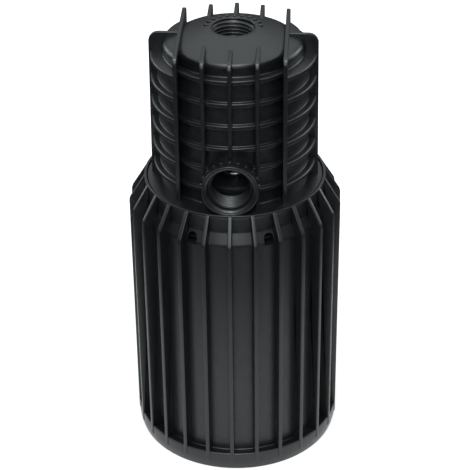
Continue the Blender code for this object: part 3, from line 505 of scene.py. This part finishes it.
def cut_by(mesh: bpy.types.Mesh, cutter: Shell) -> bpy.types.Mesh:
    """Mesh with a closed cutter taken out of it."""
    target = bpy.data.objects.new("target", mesh)
    tool = bpy.data.objects.new("tool", mesh_of("tool", cutter))
    for item in (target, tool):
        bpy.context.scene.collection.objects.link(item)
    change = target.modifiers.new("cut", "BOOLEAN")
    change.operation = "DIFFERENCE"
    change.solver = "EXACT"
    change.object = tool
    graph = bpy.context.evaluated_depsgraph_get()
    graph.update()
    result = bpy.data.meshes.new_from_object(target.evaluated_get(graph))
    result.name = mesh.name
    for item in (target, tool):
        bpy.data.objects.remove(item, do_unlink=True)
    return result


@dataclass
class SubAssembly:
    """Pieces that ride on one body.

    Attributes:
        paint: the built finishes.
        body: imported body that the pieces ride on.
    """

    paint: Paint
    body: str = "body"

    def add(self, name: str, shell: Shell | bpy.types.Mesh, slot: Slot, *nodes: str,
            angle: float = 40.0) -> bpy.types.Object:
        """Make one piece.

        Args:
            name: piece's name.
            shell: its surface, or its finished mesh.
            slot: its finish.
            nodes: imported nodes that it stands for.
            angle: edges sharper than this stay sharp, in degrees.

        Returns:
            The piece, riding on the body.
        """
        mesh = mesh_of(name, shell) if isinstance(shell, Shell) else shell
        shaded(mesh, angle)
        mesh.materials.clear()
        mesh.materials.append(self.paint.of(slot))
        piece = bpy.data.objects.new(name, mesh)
        bpy.context.scene.collection.objects.link(piece)
        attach(piece, self.body)
        if nodes:
            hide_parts(*nodes)
        log.info("%s: %d faces", name, len(mesh.polygons))
        return piece

    def dress(self, slot: Slot, *nodes: str) -> None:
        """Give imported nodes, kept as they are, a better finish."""
        for node in nodes:
            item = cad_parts[node]
            if not item.material_slots:
                raise RuntimeError(f"{node} has no material slot")
            for holder in item.material_slots:
                holder.link = "OBJECT"
                holder.material = self.paint.of(slot)
            log.info("%s: dressed", node)


# ---------------------------------------------------------------- sizes shared by the shells

@dataclass(frozen=True)
class Plan:
    """Main sizes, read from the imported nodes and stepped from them.

    Attributes:
        rib_r: outside of the canister's ribs.
        rim_z: top of the canister's rim.
        port_y: how far in front the side port's face stands.
        spigot_z: lower end of the housing's spigot.
    """

    rib_r: float
    rim_z: float
    port_y: float
    spigot_z: float

    @classmethod
    def from_frame(cls) -> "Plan":
        """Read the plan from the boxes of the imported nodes."""
        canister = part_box("strainer_canister")
        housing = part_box("upper_housing")
        return cls(canister[1].y, canister[1].z, -housing[0].y, housing[0].z)

    @property
    def canister_r(self) -> float:
        """Outside of the canister's plain wall."""
        return self.rib_r - RIB_DEPTH

    @property
    def body_r(self) -> float:
        """Outside of the housing's plain side wall."""
        return self.canister_r - SHELL_STEP

    @property
    def disc_z(self) -> float:
        """Top of the housing's flange disc."""
        return self.rim_z - DISC_DROP

    @property
    def flange_z(self) -> float:
        """Top of the highest ring."""
        return self.disc_z + LOWEST_RING_RISE + RING_COUNT * RING_PITCH

    @property
    def crown_z(self) -> float:
        """Top of the dome."""
        return self.flange_z + DOME_RISE

    @property
    def port_z(self) -> float:
        """Height of the side port's axis."""
        return self.disc_z + PORT_RISE


# ---------------------------------------------------------------- canister

@dataclass
class StrainerCanister(SubAssembly):
    """Ribbed lower shell with its base ring, shoulder, neck, rim and snap windows."""

    plan: Plan = field(default_factory=Plan.from_frame)
    rib_count: int = 26
    rib_width: float = 0.0021
    rib_edge: float = 0.00035
    wall: float = 0.0025
    ring_height: float = 0.0106
    ring_tuck: float = 0.0011
    ring_edge_height: float = 0.0044
    window_width: float = 0.0050
    window_low: float = 0.0165    # below the rim's top
    window_high: float = 0.0108
    shoulder_drop: float = 0.0155
    neck_step: float = 0.0029     # from the plain wall in to the neck

    def section(self) -> np.ndarray:
        """Wall's section: rim, neck, shoulder, plain wall, base ring with its groove, and the bore."""
        rim = self.plan.rim_z
        wall_r = self.plan.canister_r
        neck_r = wall_r - self.neck_step
        neck_bore = neck_r - 0.0017
        rim_r = neck_r + 0.0004
        ring_r = self.plan.rib_r - 0.0003
        shoulder = rim - self.shoulder_drop
        corners = np.array([
            (rim_r, rim), (rim_r, rim - 0.0014), (neck_r, rim - 0.0019), (neck_r, shoulder + 0.0062),
            (wall_r, shoulder), (wall_r, self.ring_height - 0.0012), (ring_r, self.ring_height),
            (ring_r, self.ring_edge_height), (ring_r - self.ring_tuck, 0.0), (ring_r - 0.0021, 0.0),
            (ring_r - 0.0021, 0.0078), (wall_r, 0.0078), (wall_r, 0.0),
            (wall_r - self.wall, 0.0), (wall_r - self.wall, shoulder - 0.0054),
            (neck_bore, shoulder - 0.0013), (neck_bore, rim - 0.0025),
            (rim_r - 0.0014, rim - 0.0025), (rim_r - 0.0014, rim)])
        ease = np.array([0.0004, 0.0004, 0.0004, 0.0008, 0.0010, 0.0008, 0.0010, 0.0030, 0.0005, 0.0003,
                         0.0004, 0.0004, 0.0003, 0.0004, 0.0015, 0.0010, 0.0003, 0.0003, 0.0003])
        return rounded(corners, ease, 5)

    def rib_outline(self) -> np.ndarray:
        """Outline of a rib, from the base ring's ledge up the wall and in over the shoulder to the rim."""
        rim = self.plan.rim_z
        wall_r = self.plan.canister_r
        root = wall_r - 0.0012
        neck = wall_r - 0.0038
        tip = self.plan.rib_r
        shoulder = rim - self.shoulder_drop
        corners = np.array([
            (root, 0.0081), (tip - 0.0009, 0.0081), (tip - 0.0009, 0.0044), (tip, 0.0050),
            (tip, shoulder + 0.0020), (wall_r - 0.0025, rim - 0.0004), (neck, rim - 0.0004),
            (neck, shoulder + 0.0050), (root, shoulder - 0.0012)])
        ease = np.array([0.0001, 0.0001, 0.0002, 0.0006, 0.0016, 0.0008, 0.0001, 0.0001, 0.0001])
        return rounded(corners, ease, 4)

    def ribs(self) -> Shell:
        """Ribs at even azimuths, one of them straight ahead."""
        rib = slab(self.rib_outline(), self.rib_width, self.rib_edge)
        return Shell.joined([rib.moved(upright(360.0 * k / self.rib_count)) for k in range(self.rib_count)])

    def window_cutters(self) -> list[Shell]:
        """Arched prisms: a straight-sided foot under a half circle."""
        half = self.window_width / 2
        low = self.plan.rim_z - self.window_low
        spring = self.plan.rim_z - self.window_high - half
        turn = np.linspace(0.0, np.pi, 17)
        arch = np.stack([half * np.cos(turn), spring + half * np.sin(turn)], axis=1)
        outline = np.concatenate([np.array([(-half, low), (half, low)]), arch])
        prism = slab(outline, 0.0070, 0.00001, 1)
        made = []
        for azimuth in window_azimuths():
            face = radial(azimuth) @ np.array([[0.0, 0.0, 1.0], [1.0, 0.0, 0.0], [0.0, 1.0, 0.0]])
            reach = radial(azimuth) @ np.array([self.plan.canister_r - 0.0019, 0.0, 0.0])
            made.append(prism.moved(face, tuple(reach)))
        return made

    def build(self) -> None:
        """Make the wall with its windows, and the ribs."""
        wall = mesh_of("canister_wall", revolve(self.section(), 8 * self.rib_count))
        for cutter in self.window_cutters():
            wall = cut_by(wall, cutter)
        self.add("canister_wall", wall, Slot.CANISTER, "strainer_canister", angle=32.0)
        self.add("canister_ribs", self.ribs(), Slot.CANISTER, "strainer_canister", angle=50.0)


# ---------------------------------------------------------------- housing

@dataclass
class UpperHousing(SubAssembly):
    """Ribbed upper shell: recessed front and back, proud sides, plates, fins, dome and both ports."""

    plan: Plan = field(default_factory=Plan.from_frame)
    ring_height: float = 0.0021
    ring_depth: float = 0.0032
    front_recess: float = 0.0021
    front_lean: float = 0.0020
    front_ring: float = 0.0020
    plate_pitch: float = 0.0130
    plate_width: float = 0.0020
    plate_rise: float = 0.0097
    edge: float = 0.00035
    thread_minor: float = 0.00932
    thread_major: float = 0.01048
    thread_pitch: float = 0.001814
    chamber_r: float = 0.0300
    thread_play: float = 0.00012  # between the thread's sleeve and the bore it sits in
    boss_r: float = 0.0137
    fin_corner: float = 0.0050
    tick_count: int = 11

    @property
    def bore(self) -> float:
        """Radius of both ports' bores, outside the thread."""
        return self.thread_major + self.thread_play

    @property
    def half(self) -> float:
        """Distance of the outer plates from the middle plane."""
        return 2 * self.plate_pitch

    def front_wall(self, height: np.ndarray | float) -> np.ndarray | float:
        """Radius of the front wall, which leans in over its three highest rings."""
        lean = np.clip((height - self.plan.flange_z) / (3 * RING_PITCH) + 1.0, 0.0, 1.0)
        return self.plan.body_r - self.front_recess - self.front_lean * lean

    def front_corners(self) -> tuple[np.ndarray, np.ndarray]:
        """Corners of the front's outer section, from the dome's flat down to the disc, and their easing."""
        plan = self.plan
        dome = plan.body_r - 0.0065
        top = plan.flange_z
        points = [(0.0135, plan.crown_z), (dome - 0.0021, top + 0.0070), (dome - 0.0005, top + 0.0061),
                  (dome, top + 0.0045), (dome, top)]
        ease = [0.0040, 0.0008, 0.0008, 0.0008, 0.0007]
        for k in range(RING_COUNT + 1):
            high = top - k * RING_PITCH
            low = high - self.ring_height
            if k:
                points.append((float(self.front_wall(high)), high))
                ease.append(0.0004)
            points += [(float(self.front_wall(high)) + self.front_ring, high),
                       (float(self.front_wall(low)) + self.front_ring, low),
                       (float(self.front_wall(low)), low)]
            ease += [0.0005, 0.0005, 0.0004]
        return np.array(points), np.array(ease)

    def side_corners(self) -> tuple[np.ndarray, np.ndarray]:
        """Corners of the sides' outer section, from the dome at the outer plates down to the disc."""
        plan = self.plan
        dome = plan.body_r - 0.0028
        top = plan.flange_z
        inner = self.half - 0.0001
        slope = (plan.crown_z - top - 0.0070) / (dome - 0.0021 - 0.0135)
        points = [(inner, plan.crown_z - slope * (inner - 0.0135)), (dome - 0.0021, top + 0.0070),
                  (dome - 0.0006, top + 0.0061), (dome, top + 0.0045), (dome, top)]
        ease = [0.0, 0.0008, 0.0008, 0.0008, 0.0007]
        for k in range(RING_COUNT + 1):
            high = top - k * RING_PITCH
            low = high - self.ring_height
            if k:
                points.append((plan.body_r, high))
                ease.append(0.0004)
            points += [(plan.body_r + self.ring_depth, high), (plan.body_r + self.ring_depth, low),
                       (plan.body_r, low)]
            ease += [0.0013, 0.0004, 0.0006]
        points.append((plan.body_r, plan.disc_z - 0.0006))
        ease.append(0.0)
        return np.array(points), np.array(ease)

    def core_section(self) -> np.ndarray:
        """Closed section of the round core: mouth, dome, front wall, disc, spigot, seat bore and chamber."""
        plan = self.plan
        outer, outer_ease = self.front_corners()
        bore = self.bore
        clamp = plan.spigot_z + 0.0118
        ceiling = plan.flange_z - 0.0040
        disc_r = plan.canister_r - 0.0042
        spigot_r = disc_r - 0.0007
        lower = np.array([
            (float(self.front_wall(plan.disc_z)), plan.disc_z), (disc_r, plan.disc_z),
            (disc_r, plan.rim_z - 0.0022), (spigot_r, plan.rim_z - 0.0022), (spigot_r, plan.spigot_z),
            (spigot_r - 0.0056, plan.spigot_z), (spigot_r - 0.0056, clamp), (self.chamber_r, clamp),
            (self.chamber_r, ceiling - 0.0030), (self.chamber_r - 0.0040, ceiling + 0.0020),
            (bore + 0.0041, ceiling + 0.0050), (bore + 0.0041, ceiling - 0.0030), (bore, ceiling - 0.0030),
            (bore, plan.crown_z)])
        lower_ease = np.array([0.0010, 0.0005, 0.0003, 0.0003, 0.0006, 0.0004, 0.0003, 0.0004, 0.0020,
                               0.0020, 0.0010, 0.0005, 0.0005, 0.0005])
        return rounded(np.concatenate([outer, lower]), np.concatenate([outer_ease, lower_ease]), 4)

    def side_wall(self, sign: float) -> Shell:
        """Side sector outside an outer plate.

        Each point (r, z) of the section becomes an arc in its level plane: at half angle
        f = acos(inner / r) the points are (r cos(s f), r sin(s f)), s from -1 to 1, so both ends lie on
        the plane x = inner, where the arc's chord closes the row.

        Args:
            sign: 1 for the +X side, -1 for the -X side.

        Returns:
            Closed sector.
        """
        corners, ease = self.side_corners()
        section = rounded(corners, ease, 4, closed=False)
        inner = self.half - 0.0001
        reach = np.arccos(np.clip(inner / section[:, 0], -1.0, 1.0))[:, None]
        share = np.linspace(-1.0, 1.0, 72)[None]
        x = section[:, 0, None] * np.cos(share * reach) * sign
        y = section[:, 0, None] * np.sin(share * reach)
        z = section[:, 1, None] + 0 * share
        points = np.stack([x, y, z], axis=-1).reshape(-1, 3)
        rows, columns = len(section), share.shape[1]
        last = (np.arange(columns) + columns * (rows - 1))[None]
        return Shell(points, [weave(rows, columns, False, True), last]).outward()

    def plate(self, step: int) -> list[Shell]:
        """Upright plate parallel to the plane of both ports, hollow where the valve chamber is.

        Args:
            step: number of pitches from the middle plane.

        Returns:
            One arch over the dome, or for the middle plate a half in front and a half behind.
        """
        plan = self.plan
        offset = step * self.plate_pitch
        radius = plan.body_r + (0.0034 if abs(step) == 2 else 0.0007)
        outer = math.sqrt(radius ** 2 - offset ** 2)
        inner = math.sqrt((self.chamber_r + 0.0016) ** 2 - offset ** 2)
        top = plan.flange_z + self.plate_rise
        low = plan.disc_z - 0.0008
        over_port = plan.port_z + 0.0125
        arm = top - 0.0072
        corner = 0.0026
        shoulder = [(outer, low), (outer, top - corner * 1.2), (outer - corner * 0.35, top - corner * 0.4),
                    (outer - corner, top)]
        if step:
            points = np.array(shoulder + [(-y, z) for y, z in shoulder[::-1]]
                              + [(-inner, low), (-inner, arm), (inner, arm), (inner, low)])
            parts = [points]
        else:
            half = np.array(shoulder + [(0.0150, top), (0.0150, arm), (inner, arm), (inner, low)])
            front = half[::-1] * np.array([-1.0, 1.0])
            front[:, 1] = np.maximum(front[:, 1], over_port)
            parts = [half, front]
        stand = np.array([[0.0, 0.0, 1.0], [1.0, 0.0, 0.0], [0.0, 1.0, 0.0]])
        return [slab(rounded(part, 0.0008, 3), self.plate_width, self.edge).moved(stand, (offset, 0.0, 0.0))
                for part in parts]

    def fin(self, azimuth: float) -> Shell:
        """Parting fin at one side, with a round upper corner and an arm over the dome's edge."""
        plan = self.plan
        top = plan.flange_z + self.plate_rise - 0.0002
        tip = plan.body_r + 0.0040
        turn = np.linspace(0.0, np.pi / 2, 9)
        corner = self.fin_corner
        round_off = np.stack([tip - corner + corner * np.cos(turn), top - corner + corner * np.sin(turn)],
                             axis=1)
        outline = np.concatenate([
            [(plan.body_r - 0.0040, plan.disc_z - 0.0008), (plan.body_r + 0.0047, plan.disc_z - 0.0008)],
            round_off, [(self.half, top), (self.half, top - 0.0070), (plan.body_r - 0.0040, top - 0.0070)]])
        return slab(rounded(outline, 0.0003, 2), 0.0018, self.edge).moved(upright(azimuth))

    def facing_front(self, shell: Shell) -> Shell:
        """Shell made about Z turned so that Z points to -Y, on the side port's axis."""
        return shell.moved(FACING_FRONT, (0.0, 0.0, self.plan.port_z))

    def port_boss(self) -> Shell:
        """Side port's boss with a thin rim, a concave funnel and the way in to the thread."""
        face = self.plan.port_y
        outside = self.boss_r
        bore = self.bore
        turn = np.linspace(0.0, np.pi / 2, 7)
        funnel = np.stack([outside - 0.0011 - 0.0018 * np.sin(turn) * 1.05,
                           face - 0.0004 - 0.0024 * (1 - np.cos(turn))], axis=1)
        corners = np.concatenate([
            [(bore, face - 0.0036), (bore, self.chamber_r - 0.0006), (outside, self.chamber_r - 0.0006),
             (outside, face), (outside - 0.0009, face)], funnel])
        ease = np.concatenate([[0.0003, 0.0003, 0.0003, 0.0005, 0.0002], np.full(len(funnel), 0.00015)])
        return self.facing_front(revolve(rounded(corners, ease, 4), 128))

    def threads(self) -> list[Shell]:
        """Inner threads of both ports."""
        face = self.plan.port_y
        backing = self.thread_major + 0.0008
        ceiling = self.plan.flange_z - 0.0070
        side = thread_sleeve(self.thread_minor, self.thread_major, self.thread_pitch,
                             self.chamber_r - 0.0004, face - 0.0034, backing)
        top = thread_sleeve(self.thread_minor, self.thread_major, self.thread_pitch,
                            ceiling + 0.0001, self.plan.crown_z - 0.0013, backing)
        return [self.facing_front(side), top]

    def ticks(self) -> list[Shell]:
        """Raised index ticks on the side port's boss, above it, and on the dome behind the top port."""
        made = []
        for k in range(self.tick_count):
            azimuth = 180.0 * (k + 0.5) / self.tick_count + 90.0
            side = block((0.0022, 0.0015, 0.0030), 0.0002, (self.boss_r, 0.0, self.plan.port_y - 0.0042))
            made.append(self.facing_front(side.moved(radial(azimuth))))
            top = block((0.0022, 0.0014, 0.0010), 0.0002, (0.0134, 0.0, self.plan.crown_z))
            made.append(top.moved(radial(azimuth)))
        return made

    def barbs(self) -> list[Shell]:
        """Snap barbs that fill the canister's windows, their faces sloping out from the foot."""
        low = self.plan.rim_z - 0.0162
        spigot = self.plan.canister_r - 0.0049
        outline = np.array([(spigot - 0.0010, low), (spigot + 0.0006, low), (spigot + 0.0029, low + 0.0029),
                            (spigot - 0.0010, low + 0.0029)])
        barb = slab(rounded(outline, 0.0003, 3), 0.0040, 0.0003)
        return [barb.moved(upright(azimuth)) for azimuth in window_azimuths()]

    def build(self) -> None:
        """Make the core with its side opening, then everything that stands on it."""
        core = mesh_of("housing_core", revolve(self.core_section(), 240))
        opening = slab(0.0123 * np.stack([np.cos(np.linspace(0, 2 * np.pi, 64, endpoint=False)),
                                          np.sin(np.linspace(0, 2 * np.pi, 64, endpoint=False))], axis=1),
                       0.0240, 0.00001, 1)
        core = cut_by(core, self.facing_front(opening.moved(np.eye(3), (0.0, 0.0, 0.0340))))
        self.add("housing_core", core, Slot.HOUSING, "upper_housing", angle=32.0)
        walls = Shell.joined([self.side_wall(1.0), self.side_wall(-1.0)])
        self.add("housing_side_walls", walls, Slot.HOUSING, "upper_housing", angle=32.0)
        plates = [shell for step in (-2, -1, 0, 1, 2) for shell in self.plate(step)]
        self.add("housing_plates", Shell.joined(plates), Slot.HOUSING, "upper_housing", angle=50.0)
        fins = Shell.joined([self.fin(90.0), self.fin(-90.0)])
        self.add("parting_fins", fins, Slot.HOUSING, "upper_housing", angle=50.0)
        self.add("side_port_boss", self.port_boss(), Slot.HOUSING, "upper_housing", angle=50.0)
        self.add("port_threads", Shell.joined(self.threads()), Slot.HOUSING, "upper_housing", angle=80.0)
        self.add("index_ticks", Shell.joined(self.ticks()), Slot.HOUSING, "upper_housing", angle=50.0)
        self.add("snap_barbs", Shell.joined(self.barbs()), Slot.HOUSING, "upper_housing", angle=50.0)


# ---------------------------------------------------------------- inside

@dataclass
class ValveInsides(SubAssembly):
    """Seat, guide, spring, filter and grid inside the shells."""

    spring_turns: int = 4
    lift: float = 0.0080

    def spring(self) -> None:
        """Compression spring, a closed turn at each end."""
        low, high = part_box("poppet_spring")
        wire = 0.0008
        radius = high.x - wire
        turns = np.linspace(0.0, self.spring_turns + 2.0, 40 * (self.spring_turns + 2) + 1)
        rise = 2 * wire + 0.00015
        bottom, top = low.z + wire, high.z - wire
        knots = [0.0, 1.0, self.spring_turns + 1.0, self.spring_turns + 2.0]
        heights = np.interp(turns, knots, [bottom, bottom + rise, top - rise, top])
        piece = self.add("coil_spring", helix_tube(radius, wire, heights, turns), Slot.STEEL, "poppet_spring",
                         angle=50.0)
        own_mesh(piece)

    def oring(self) -> None:
        """O-ring in the seat plate's edge."""
        low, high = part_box("seat_oring")
        minor = (high.z - low.z) / 2
        around = np.linspace(0.0, 2 * np.pi, 20, endpoint=False)
        section = np.stack([high.x - minor + minor * np.cos(around),
                            (low.z + high.z) / 2 + minor * np.sin(around)], axis=1)
        self.add("seat_ring_seal", revolve(section, 160), Slot.RUBBER, "seat_oring")

    def build(self) -> None:
        """Make the fine pieces and dress the rest."""
        self.spring()
        self.oring()
        self.dress(Slot.DARK, "seat_plate")
        self.dress(Slot.NATURAL, "guide_cage", "filter_frame", "filter_end_cap")
        self.dress(Slot.RUBBER, "filter_gasket")
        self.dress(Slot.SCREEN, "filter_screen")
        self.dress(Slot.CANISTER, "base_grid")
        self.dress(Slot.STEEL, "spring_washer", *[f"seat_screw_{k}" for k in range(1, 5)],
                   *[f"base_screw_{k}" for k in range(1, 5)])


@dataclass
class Poppet(SubAssembly):
    """Moving valve on its stem."""

    body: str = "poppet"

    def build(self) -> None:
        """Dress the pieces that lift."""
        self.dress(Slot.DARK, "poppet_disc")
        self.dress(Slot.BRASS, "poppet_nut")
        self.dress(Slot.RUBBER, "poppet_seal")
        self.dress(Slot.STEEL, "seal_washer", "poppet_stem")


# ---------------------------------------------------------------- studio

@dataclass
class Studio:
    """White floor and sweep, soft lights and the camera."""

    centre: tuple[float, float, float] = (0.0, 0.0, 0.115)
    floor_r: float = 1.2
    bright_r: float = 0.22
    sweep_r: float = 4.0
    sweep_z: float = 2.2
    floor_tone: float = 0.45
    glow: float = 0.52
    far_glow: float = 0.75
    cool: tuple[float, float, float] = (0.95, 1.0, 1.025)
    sky: tuple[tuple[float, float], ...] = ((0.44, 0.06), (0.53, 0.11), (0.70, 0.45), (0.85, 1.30),
                                            (0.97, 1.70))
    camera_place: tuple[float, float, float] = (0.0417, -0.7146, 0.5482)
    heading: float = 3.366
    pitch: float = 31.361
    roll: float = -0.688
    lens: float = 123.8

    def ring(self, name: str, radius: np.ndarray, height: np.ndarray, glow: float) -> bpy.types.Object:
        """Staged surface of revolution: one ring of points for each radius and height of its section."""
        angle = np.linspace(0.0, 2 * np.pi, 96, endpoint=False)[None]
        radius, height = radius[:, None], height[:, None]
        points = np.stack([radius * np.cos(angle), radius * np.sin(angle), height + 0 * angle], axis=-1)
        shell = Shell(points.reshape(-1, 3), [weave(len(radius), 96, False, True)])
        return self.staged(name, shell, self.floor_material(glow))

    def floor(self) -> None:
        """Level floor in two rings, and a third that rises to a white backdrop.

        Only the inner ring shows in reflections, so the valve mirrors a bright floor at its foot and a darker
        room beyond, and the backdrop shows to the camera alone.
        """
        share = np.linspace(0.0, 1.0, 24)
        self.ring("studio_floor", self.bright_r * share, 0 * share, self.glow)
        outer = self.ring("studio_surround", self.bright_r + (self.floor_r - self.bright_r) * share,
                          0 * share, self.far_glow)
        start = self.floor_r * 0.9
        sweep = self.ring("studio_sweep", start + (self.sweep_r - start) * np.sin(share * np.pi / 2),
                          self.sweep_z * (1 - np.cos(share * np.pi / 2)) - 0.0005, self.far_glow)
        outer.visible_glossy = False
        sweep.visible_glossy = False
        sweep.visible_diffuse = False
        sweep.visible_shadow = False

    def staged(self, name: str, shell: Shell, paint: bpy.types.Material) -> bpy.types.Object:
        """Object of the studio, kept out of the valve's own pieces."""
        mesh = mesh_of(name, shell)
        mesh.materials.append(paint)
        mesh.shade_smooth()
        item = bpy.data.objects.new(name, mesh)
        bpy.context.scene.collection.objects.link(item)
        return item

    def floor_material(self, glow: float) -> bpy.types.Material:
        """Matt white with a faint glow."""
        made = bpy.data.materials.new("floor_white")
        made.use_nodes = True
        shader = made.node_tree.nodes["Principled BSDF"]
        shader.inputs["Base Color"].default_value = (self.floor_tone,) * 3 + (1.0,)
        shader.inputs["Roughness"].default_value = 0.9
        shader.inputs["Specular IOR Level"].default_value = 0.1
        shader.inputs["Emission Color"].default_value = (1.0, 1.0, 1.0, 1.0)
        shader.inputs["Emission Strength"].default_value = glow
        return made

    def sky_light(self) -> None:
        """Dim room under a soft light overhead: brightness follows the height of the direction."""
        world = bpy.data.worlds.new("studio_sky")
        bpy.context.scene.world = world
        world.use_nodes = True
        tree = world.node_tree
        background = tree.nodes["Background"]
        background.inputs["Strength"].default_value = SKY_STRENGTH
        place = tree.nodes.new("ShaderNodeTexCoord").outputs["Generated"]
        split = tree.nodes.new("ShaderNodeSeparateXYZ")
        tree.links.new(place, split.inputs["Vector"])
        share = tree.nodes.new("ShaderNodeMapRange")
        share.inputs["From Min"].default_value = -1.0
        tree.links.new(split.outputs["Z"], share.inputs["Value"])
        ramp = tree.nodes.new("ShaderNodeValToRGB")
        stops = ramp.color_ramp.elements
        while len(stops) < len(self.sky):
            stops.new(0.5)
        for stop, (position, tone) in zip(stops, self.sky):
            stop.position = position
            stop.color = tuple(tone / SKY_STRENGTH * part for part in self.cool) + (1.0,)
        tree.links.new(share.outputs["Result"], ramp.inputs["Fac"])
        tree.links.new(ramp.outputs["Color"], background.inputs["Color"])

    def panel(self, name: str, place: tuple[float, float, float], size: float, radiance: float) -> None:
        """Square soft light aimed at the valve, hidden from the camera."""
        data = bpy.data.lights.new(name, "AREA")
        data.shape = "SQUARE"
        data.size = size
        data.energy = radiance * math.pi * size ** 2
        data.color = self.cool
        lamp = bpy.data.objects.new(name, data)
        lamp.location = place
        lamp.rotation_mode = "QUATERNION"
        lamp.rotation_quaternion = (Vector(self.centre) - Vector(place)).to_track_quat("-Z", "Y")
        lamp.visible_camera = False
        bpy.context.scene.collection.objects.link(lamp)

    def camera(self) -> None:
        """Camera in front of the valve and above it, looking down at it."""
        heading, pitch, roll = (math.radians(angle) for angle in (self.heading, self.pitch, self.roll))
        look = Vector((-math.sin(heading) * math.cos(pitch), math.cos(heading) * math.cos(pitch),
                       -math.sin(pitch)))
        data = bpy.data.cameras.new("studio_camera")
        data.sensor_width = 36.0
        data.lens = self.lens
        item = bpy.data.objects.new("studio_camera", data)
        item.location = self.camera_place
        item.rotation_mode = "QUATERNION"
        item.rotation_quaternion = look.to_track_quat("-Z", "Y") @ Quaternion((0.0, 0.0, 1.0), roll)
        bpy.context.scene.collection.objects.link(item)
        bpy.context.scene.camera = item

    def build(self) -> None:
        """Set the studio up."""
        bpy.context.scene.view_settings.view_transform = "Standard"
        self.floor()
        self.sky_light()
        self.panel("low_panel", (0.0, -1.30, 0.85), 0.8, 3.2)
        self.panel("key_panel", (0.0, -0.62, 1.20), 0.5, 11.0)
        self.panel("left_panel", (-0.95, 0.50, 0.38), 0.6, 3.2)
        self.panel("right_panel", (0.95, 0.50, 0.38), 0.6, 3.2)
        self.camera()


def main() -> None:
    """Build the valve and its studio in order."""
    logging.basicConfig(level=logging.INFO, format="%(name)s %(message)s")
    paint = Paint()
    plan = Plan.from_frame()
    Studio().build()
    for part in (StrainerCanister(paint, plan=plan), UpperHousing(paint, plan=plan), ValveInsides(paint),
                 Poppet(paint)):
        part.build()


if __name__ == "__main__":
    main()
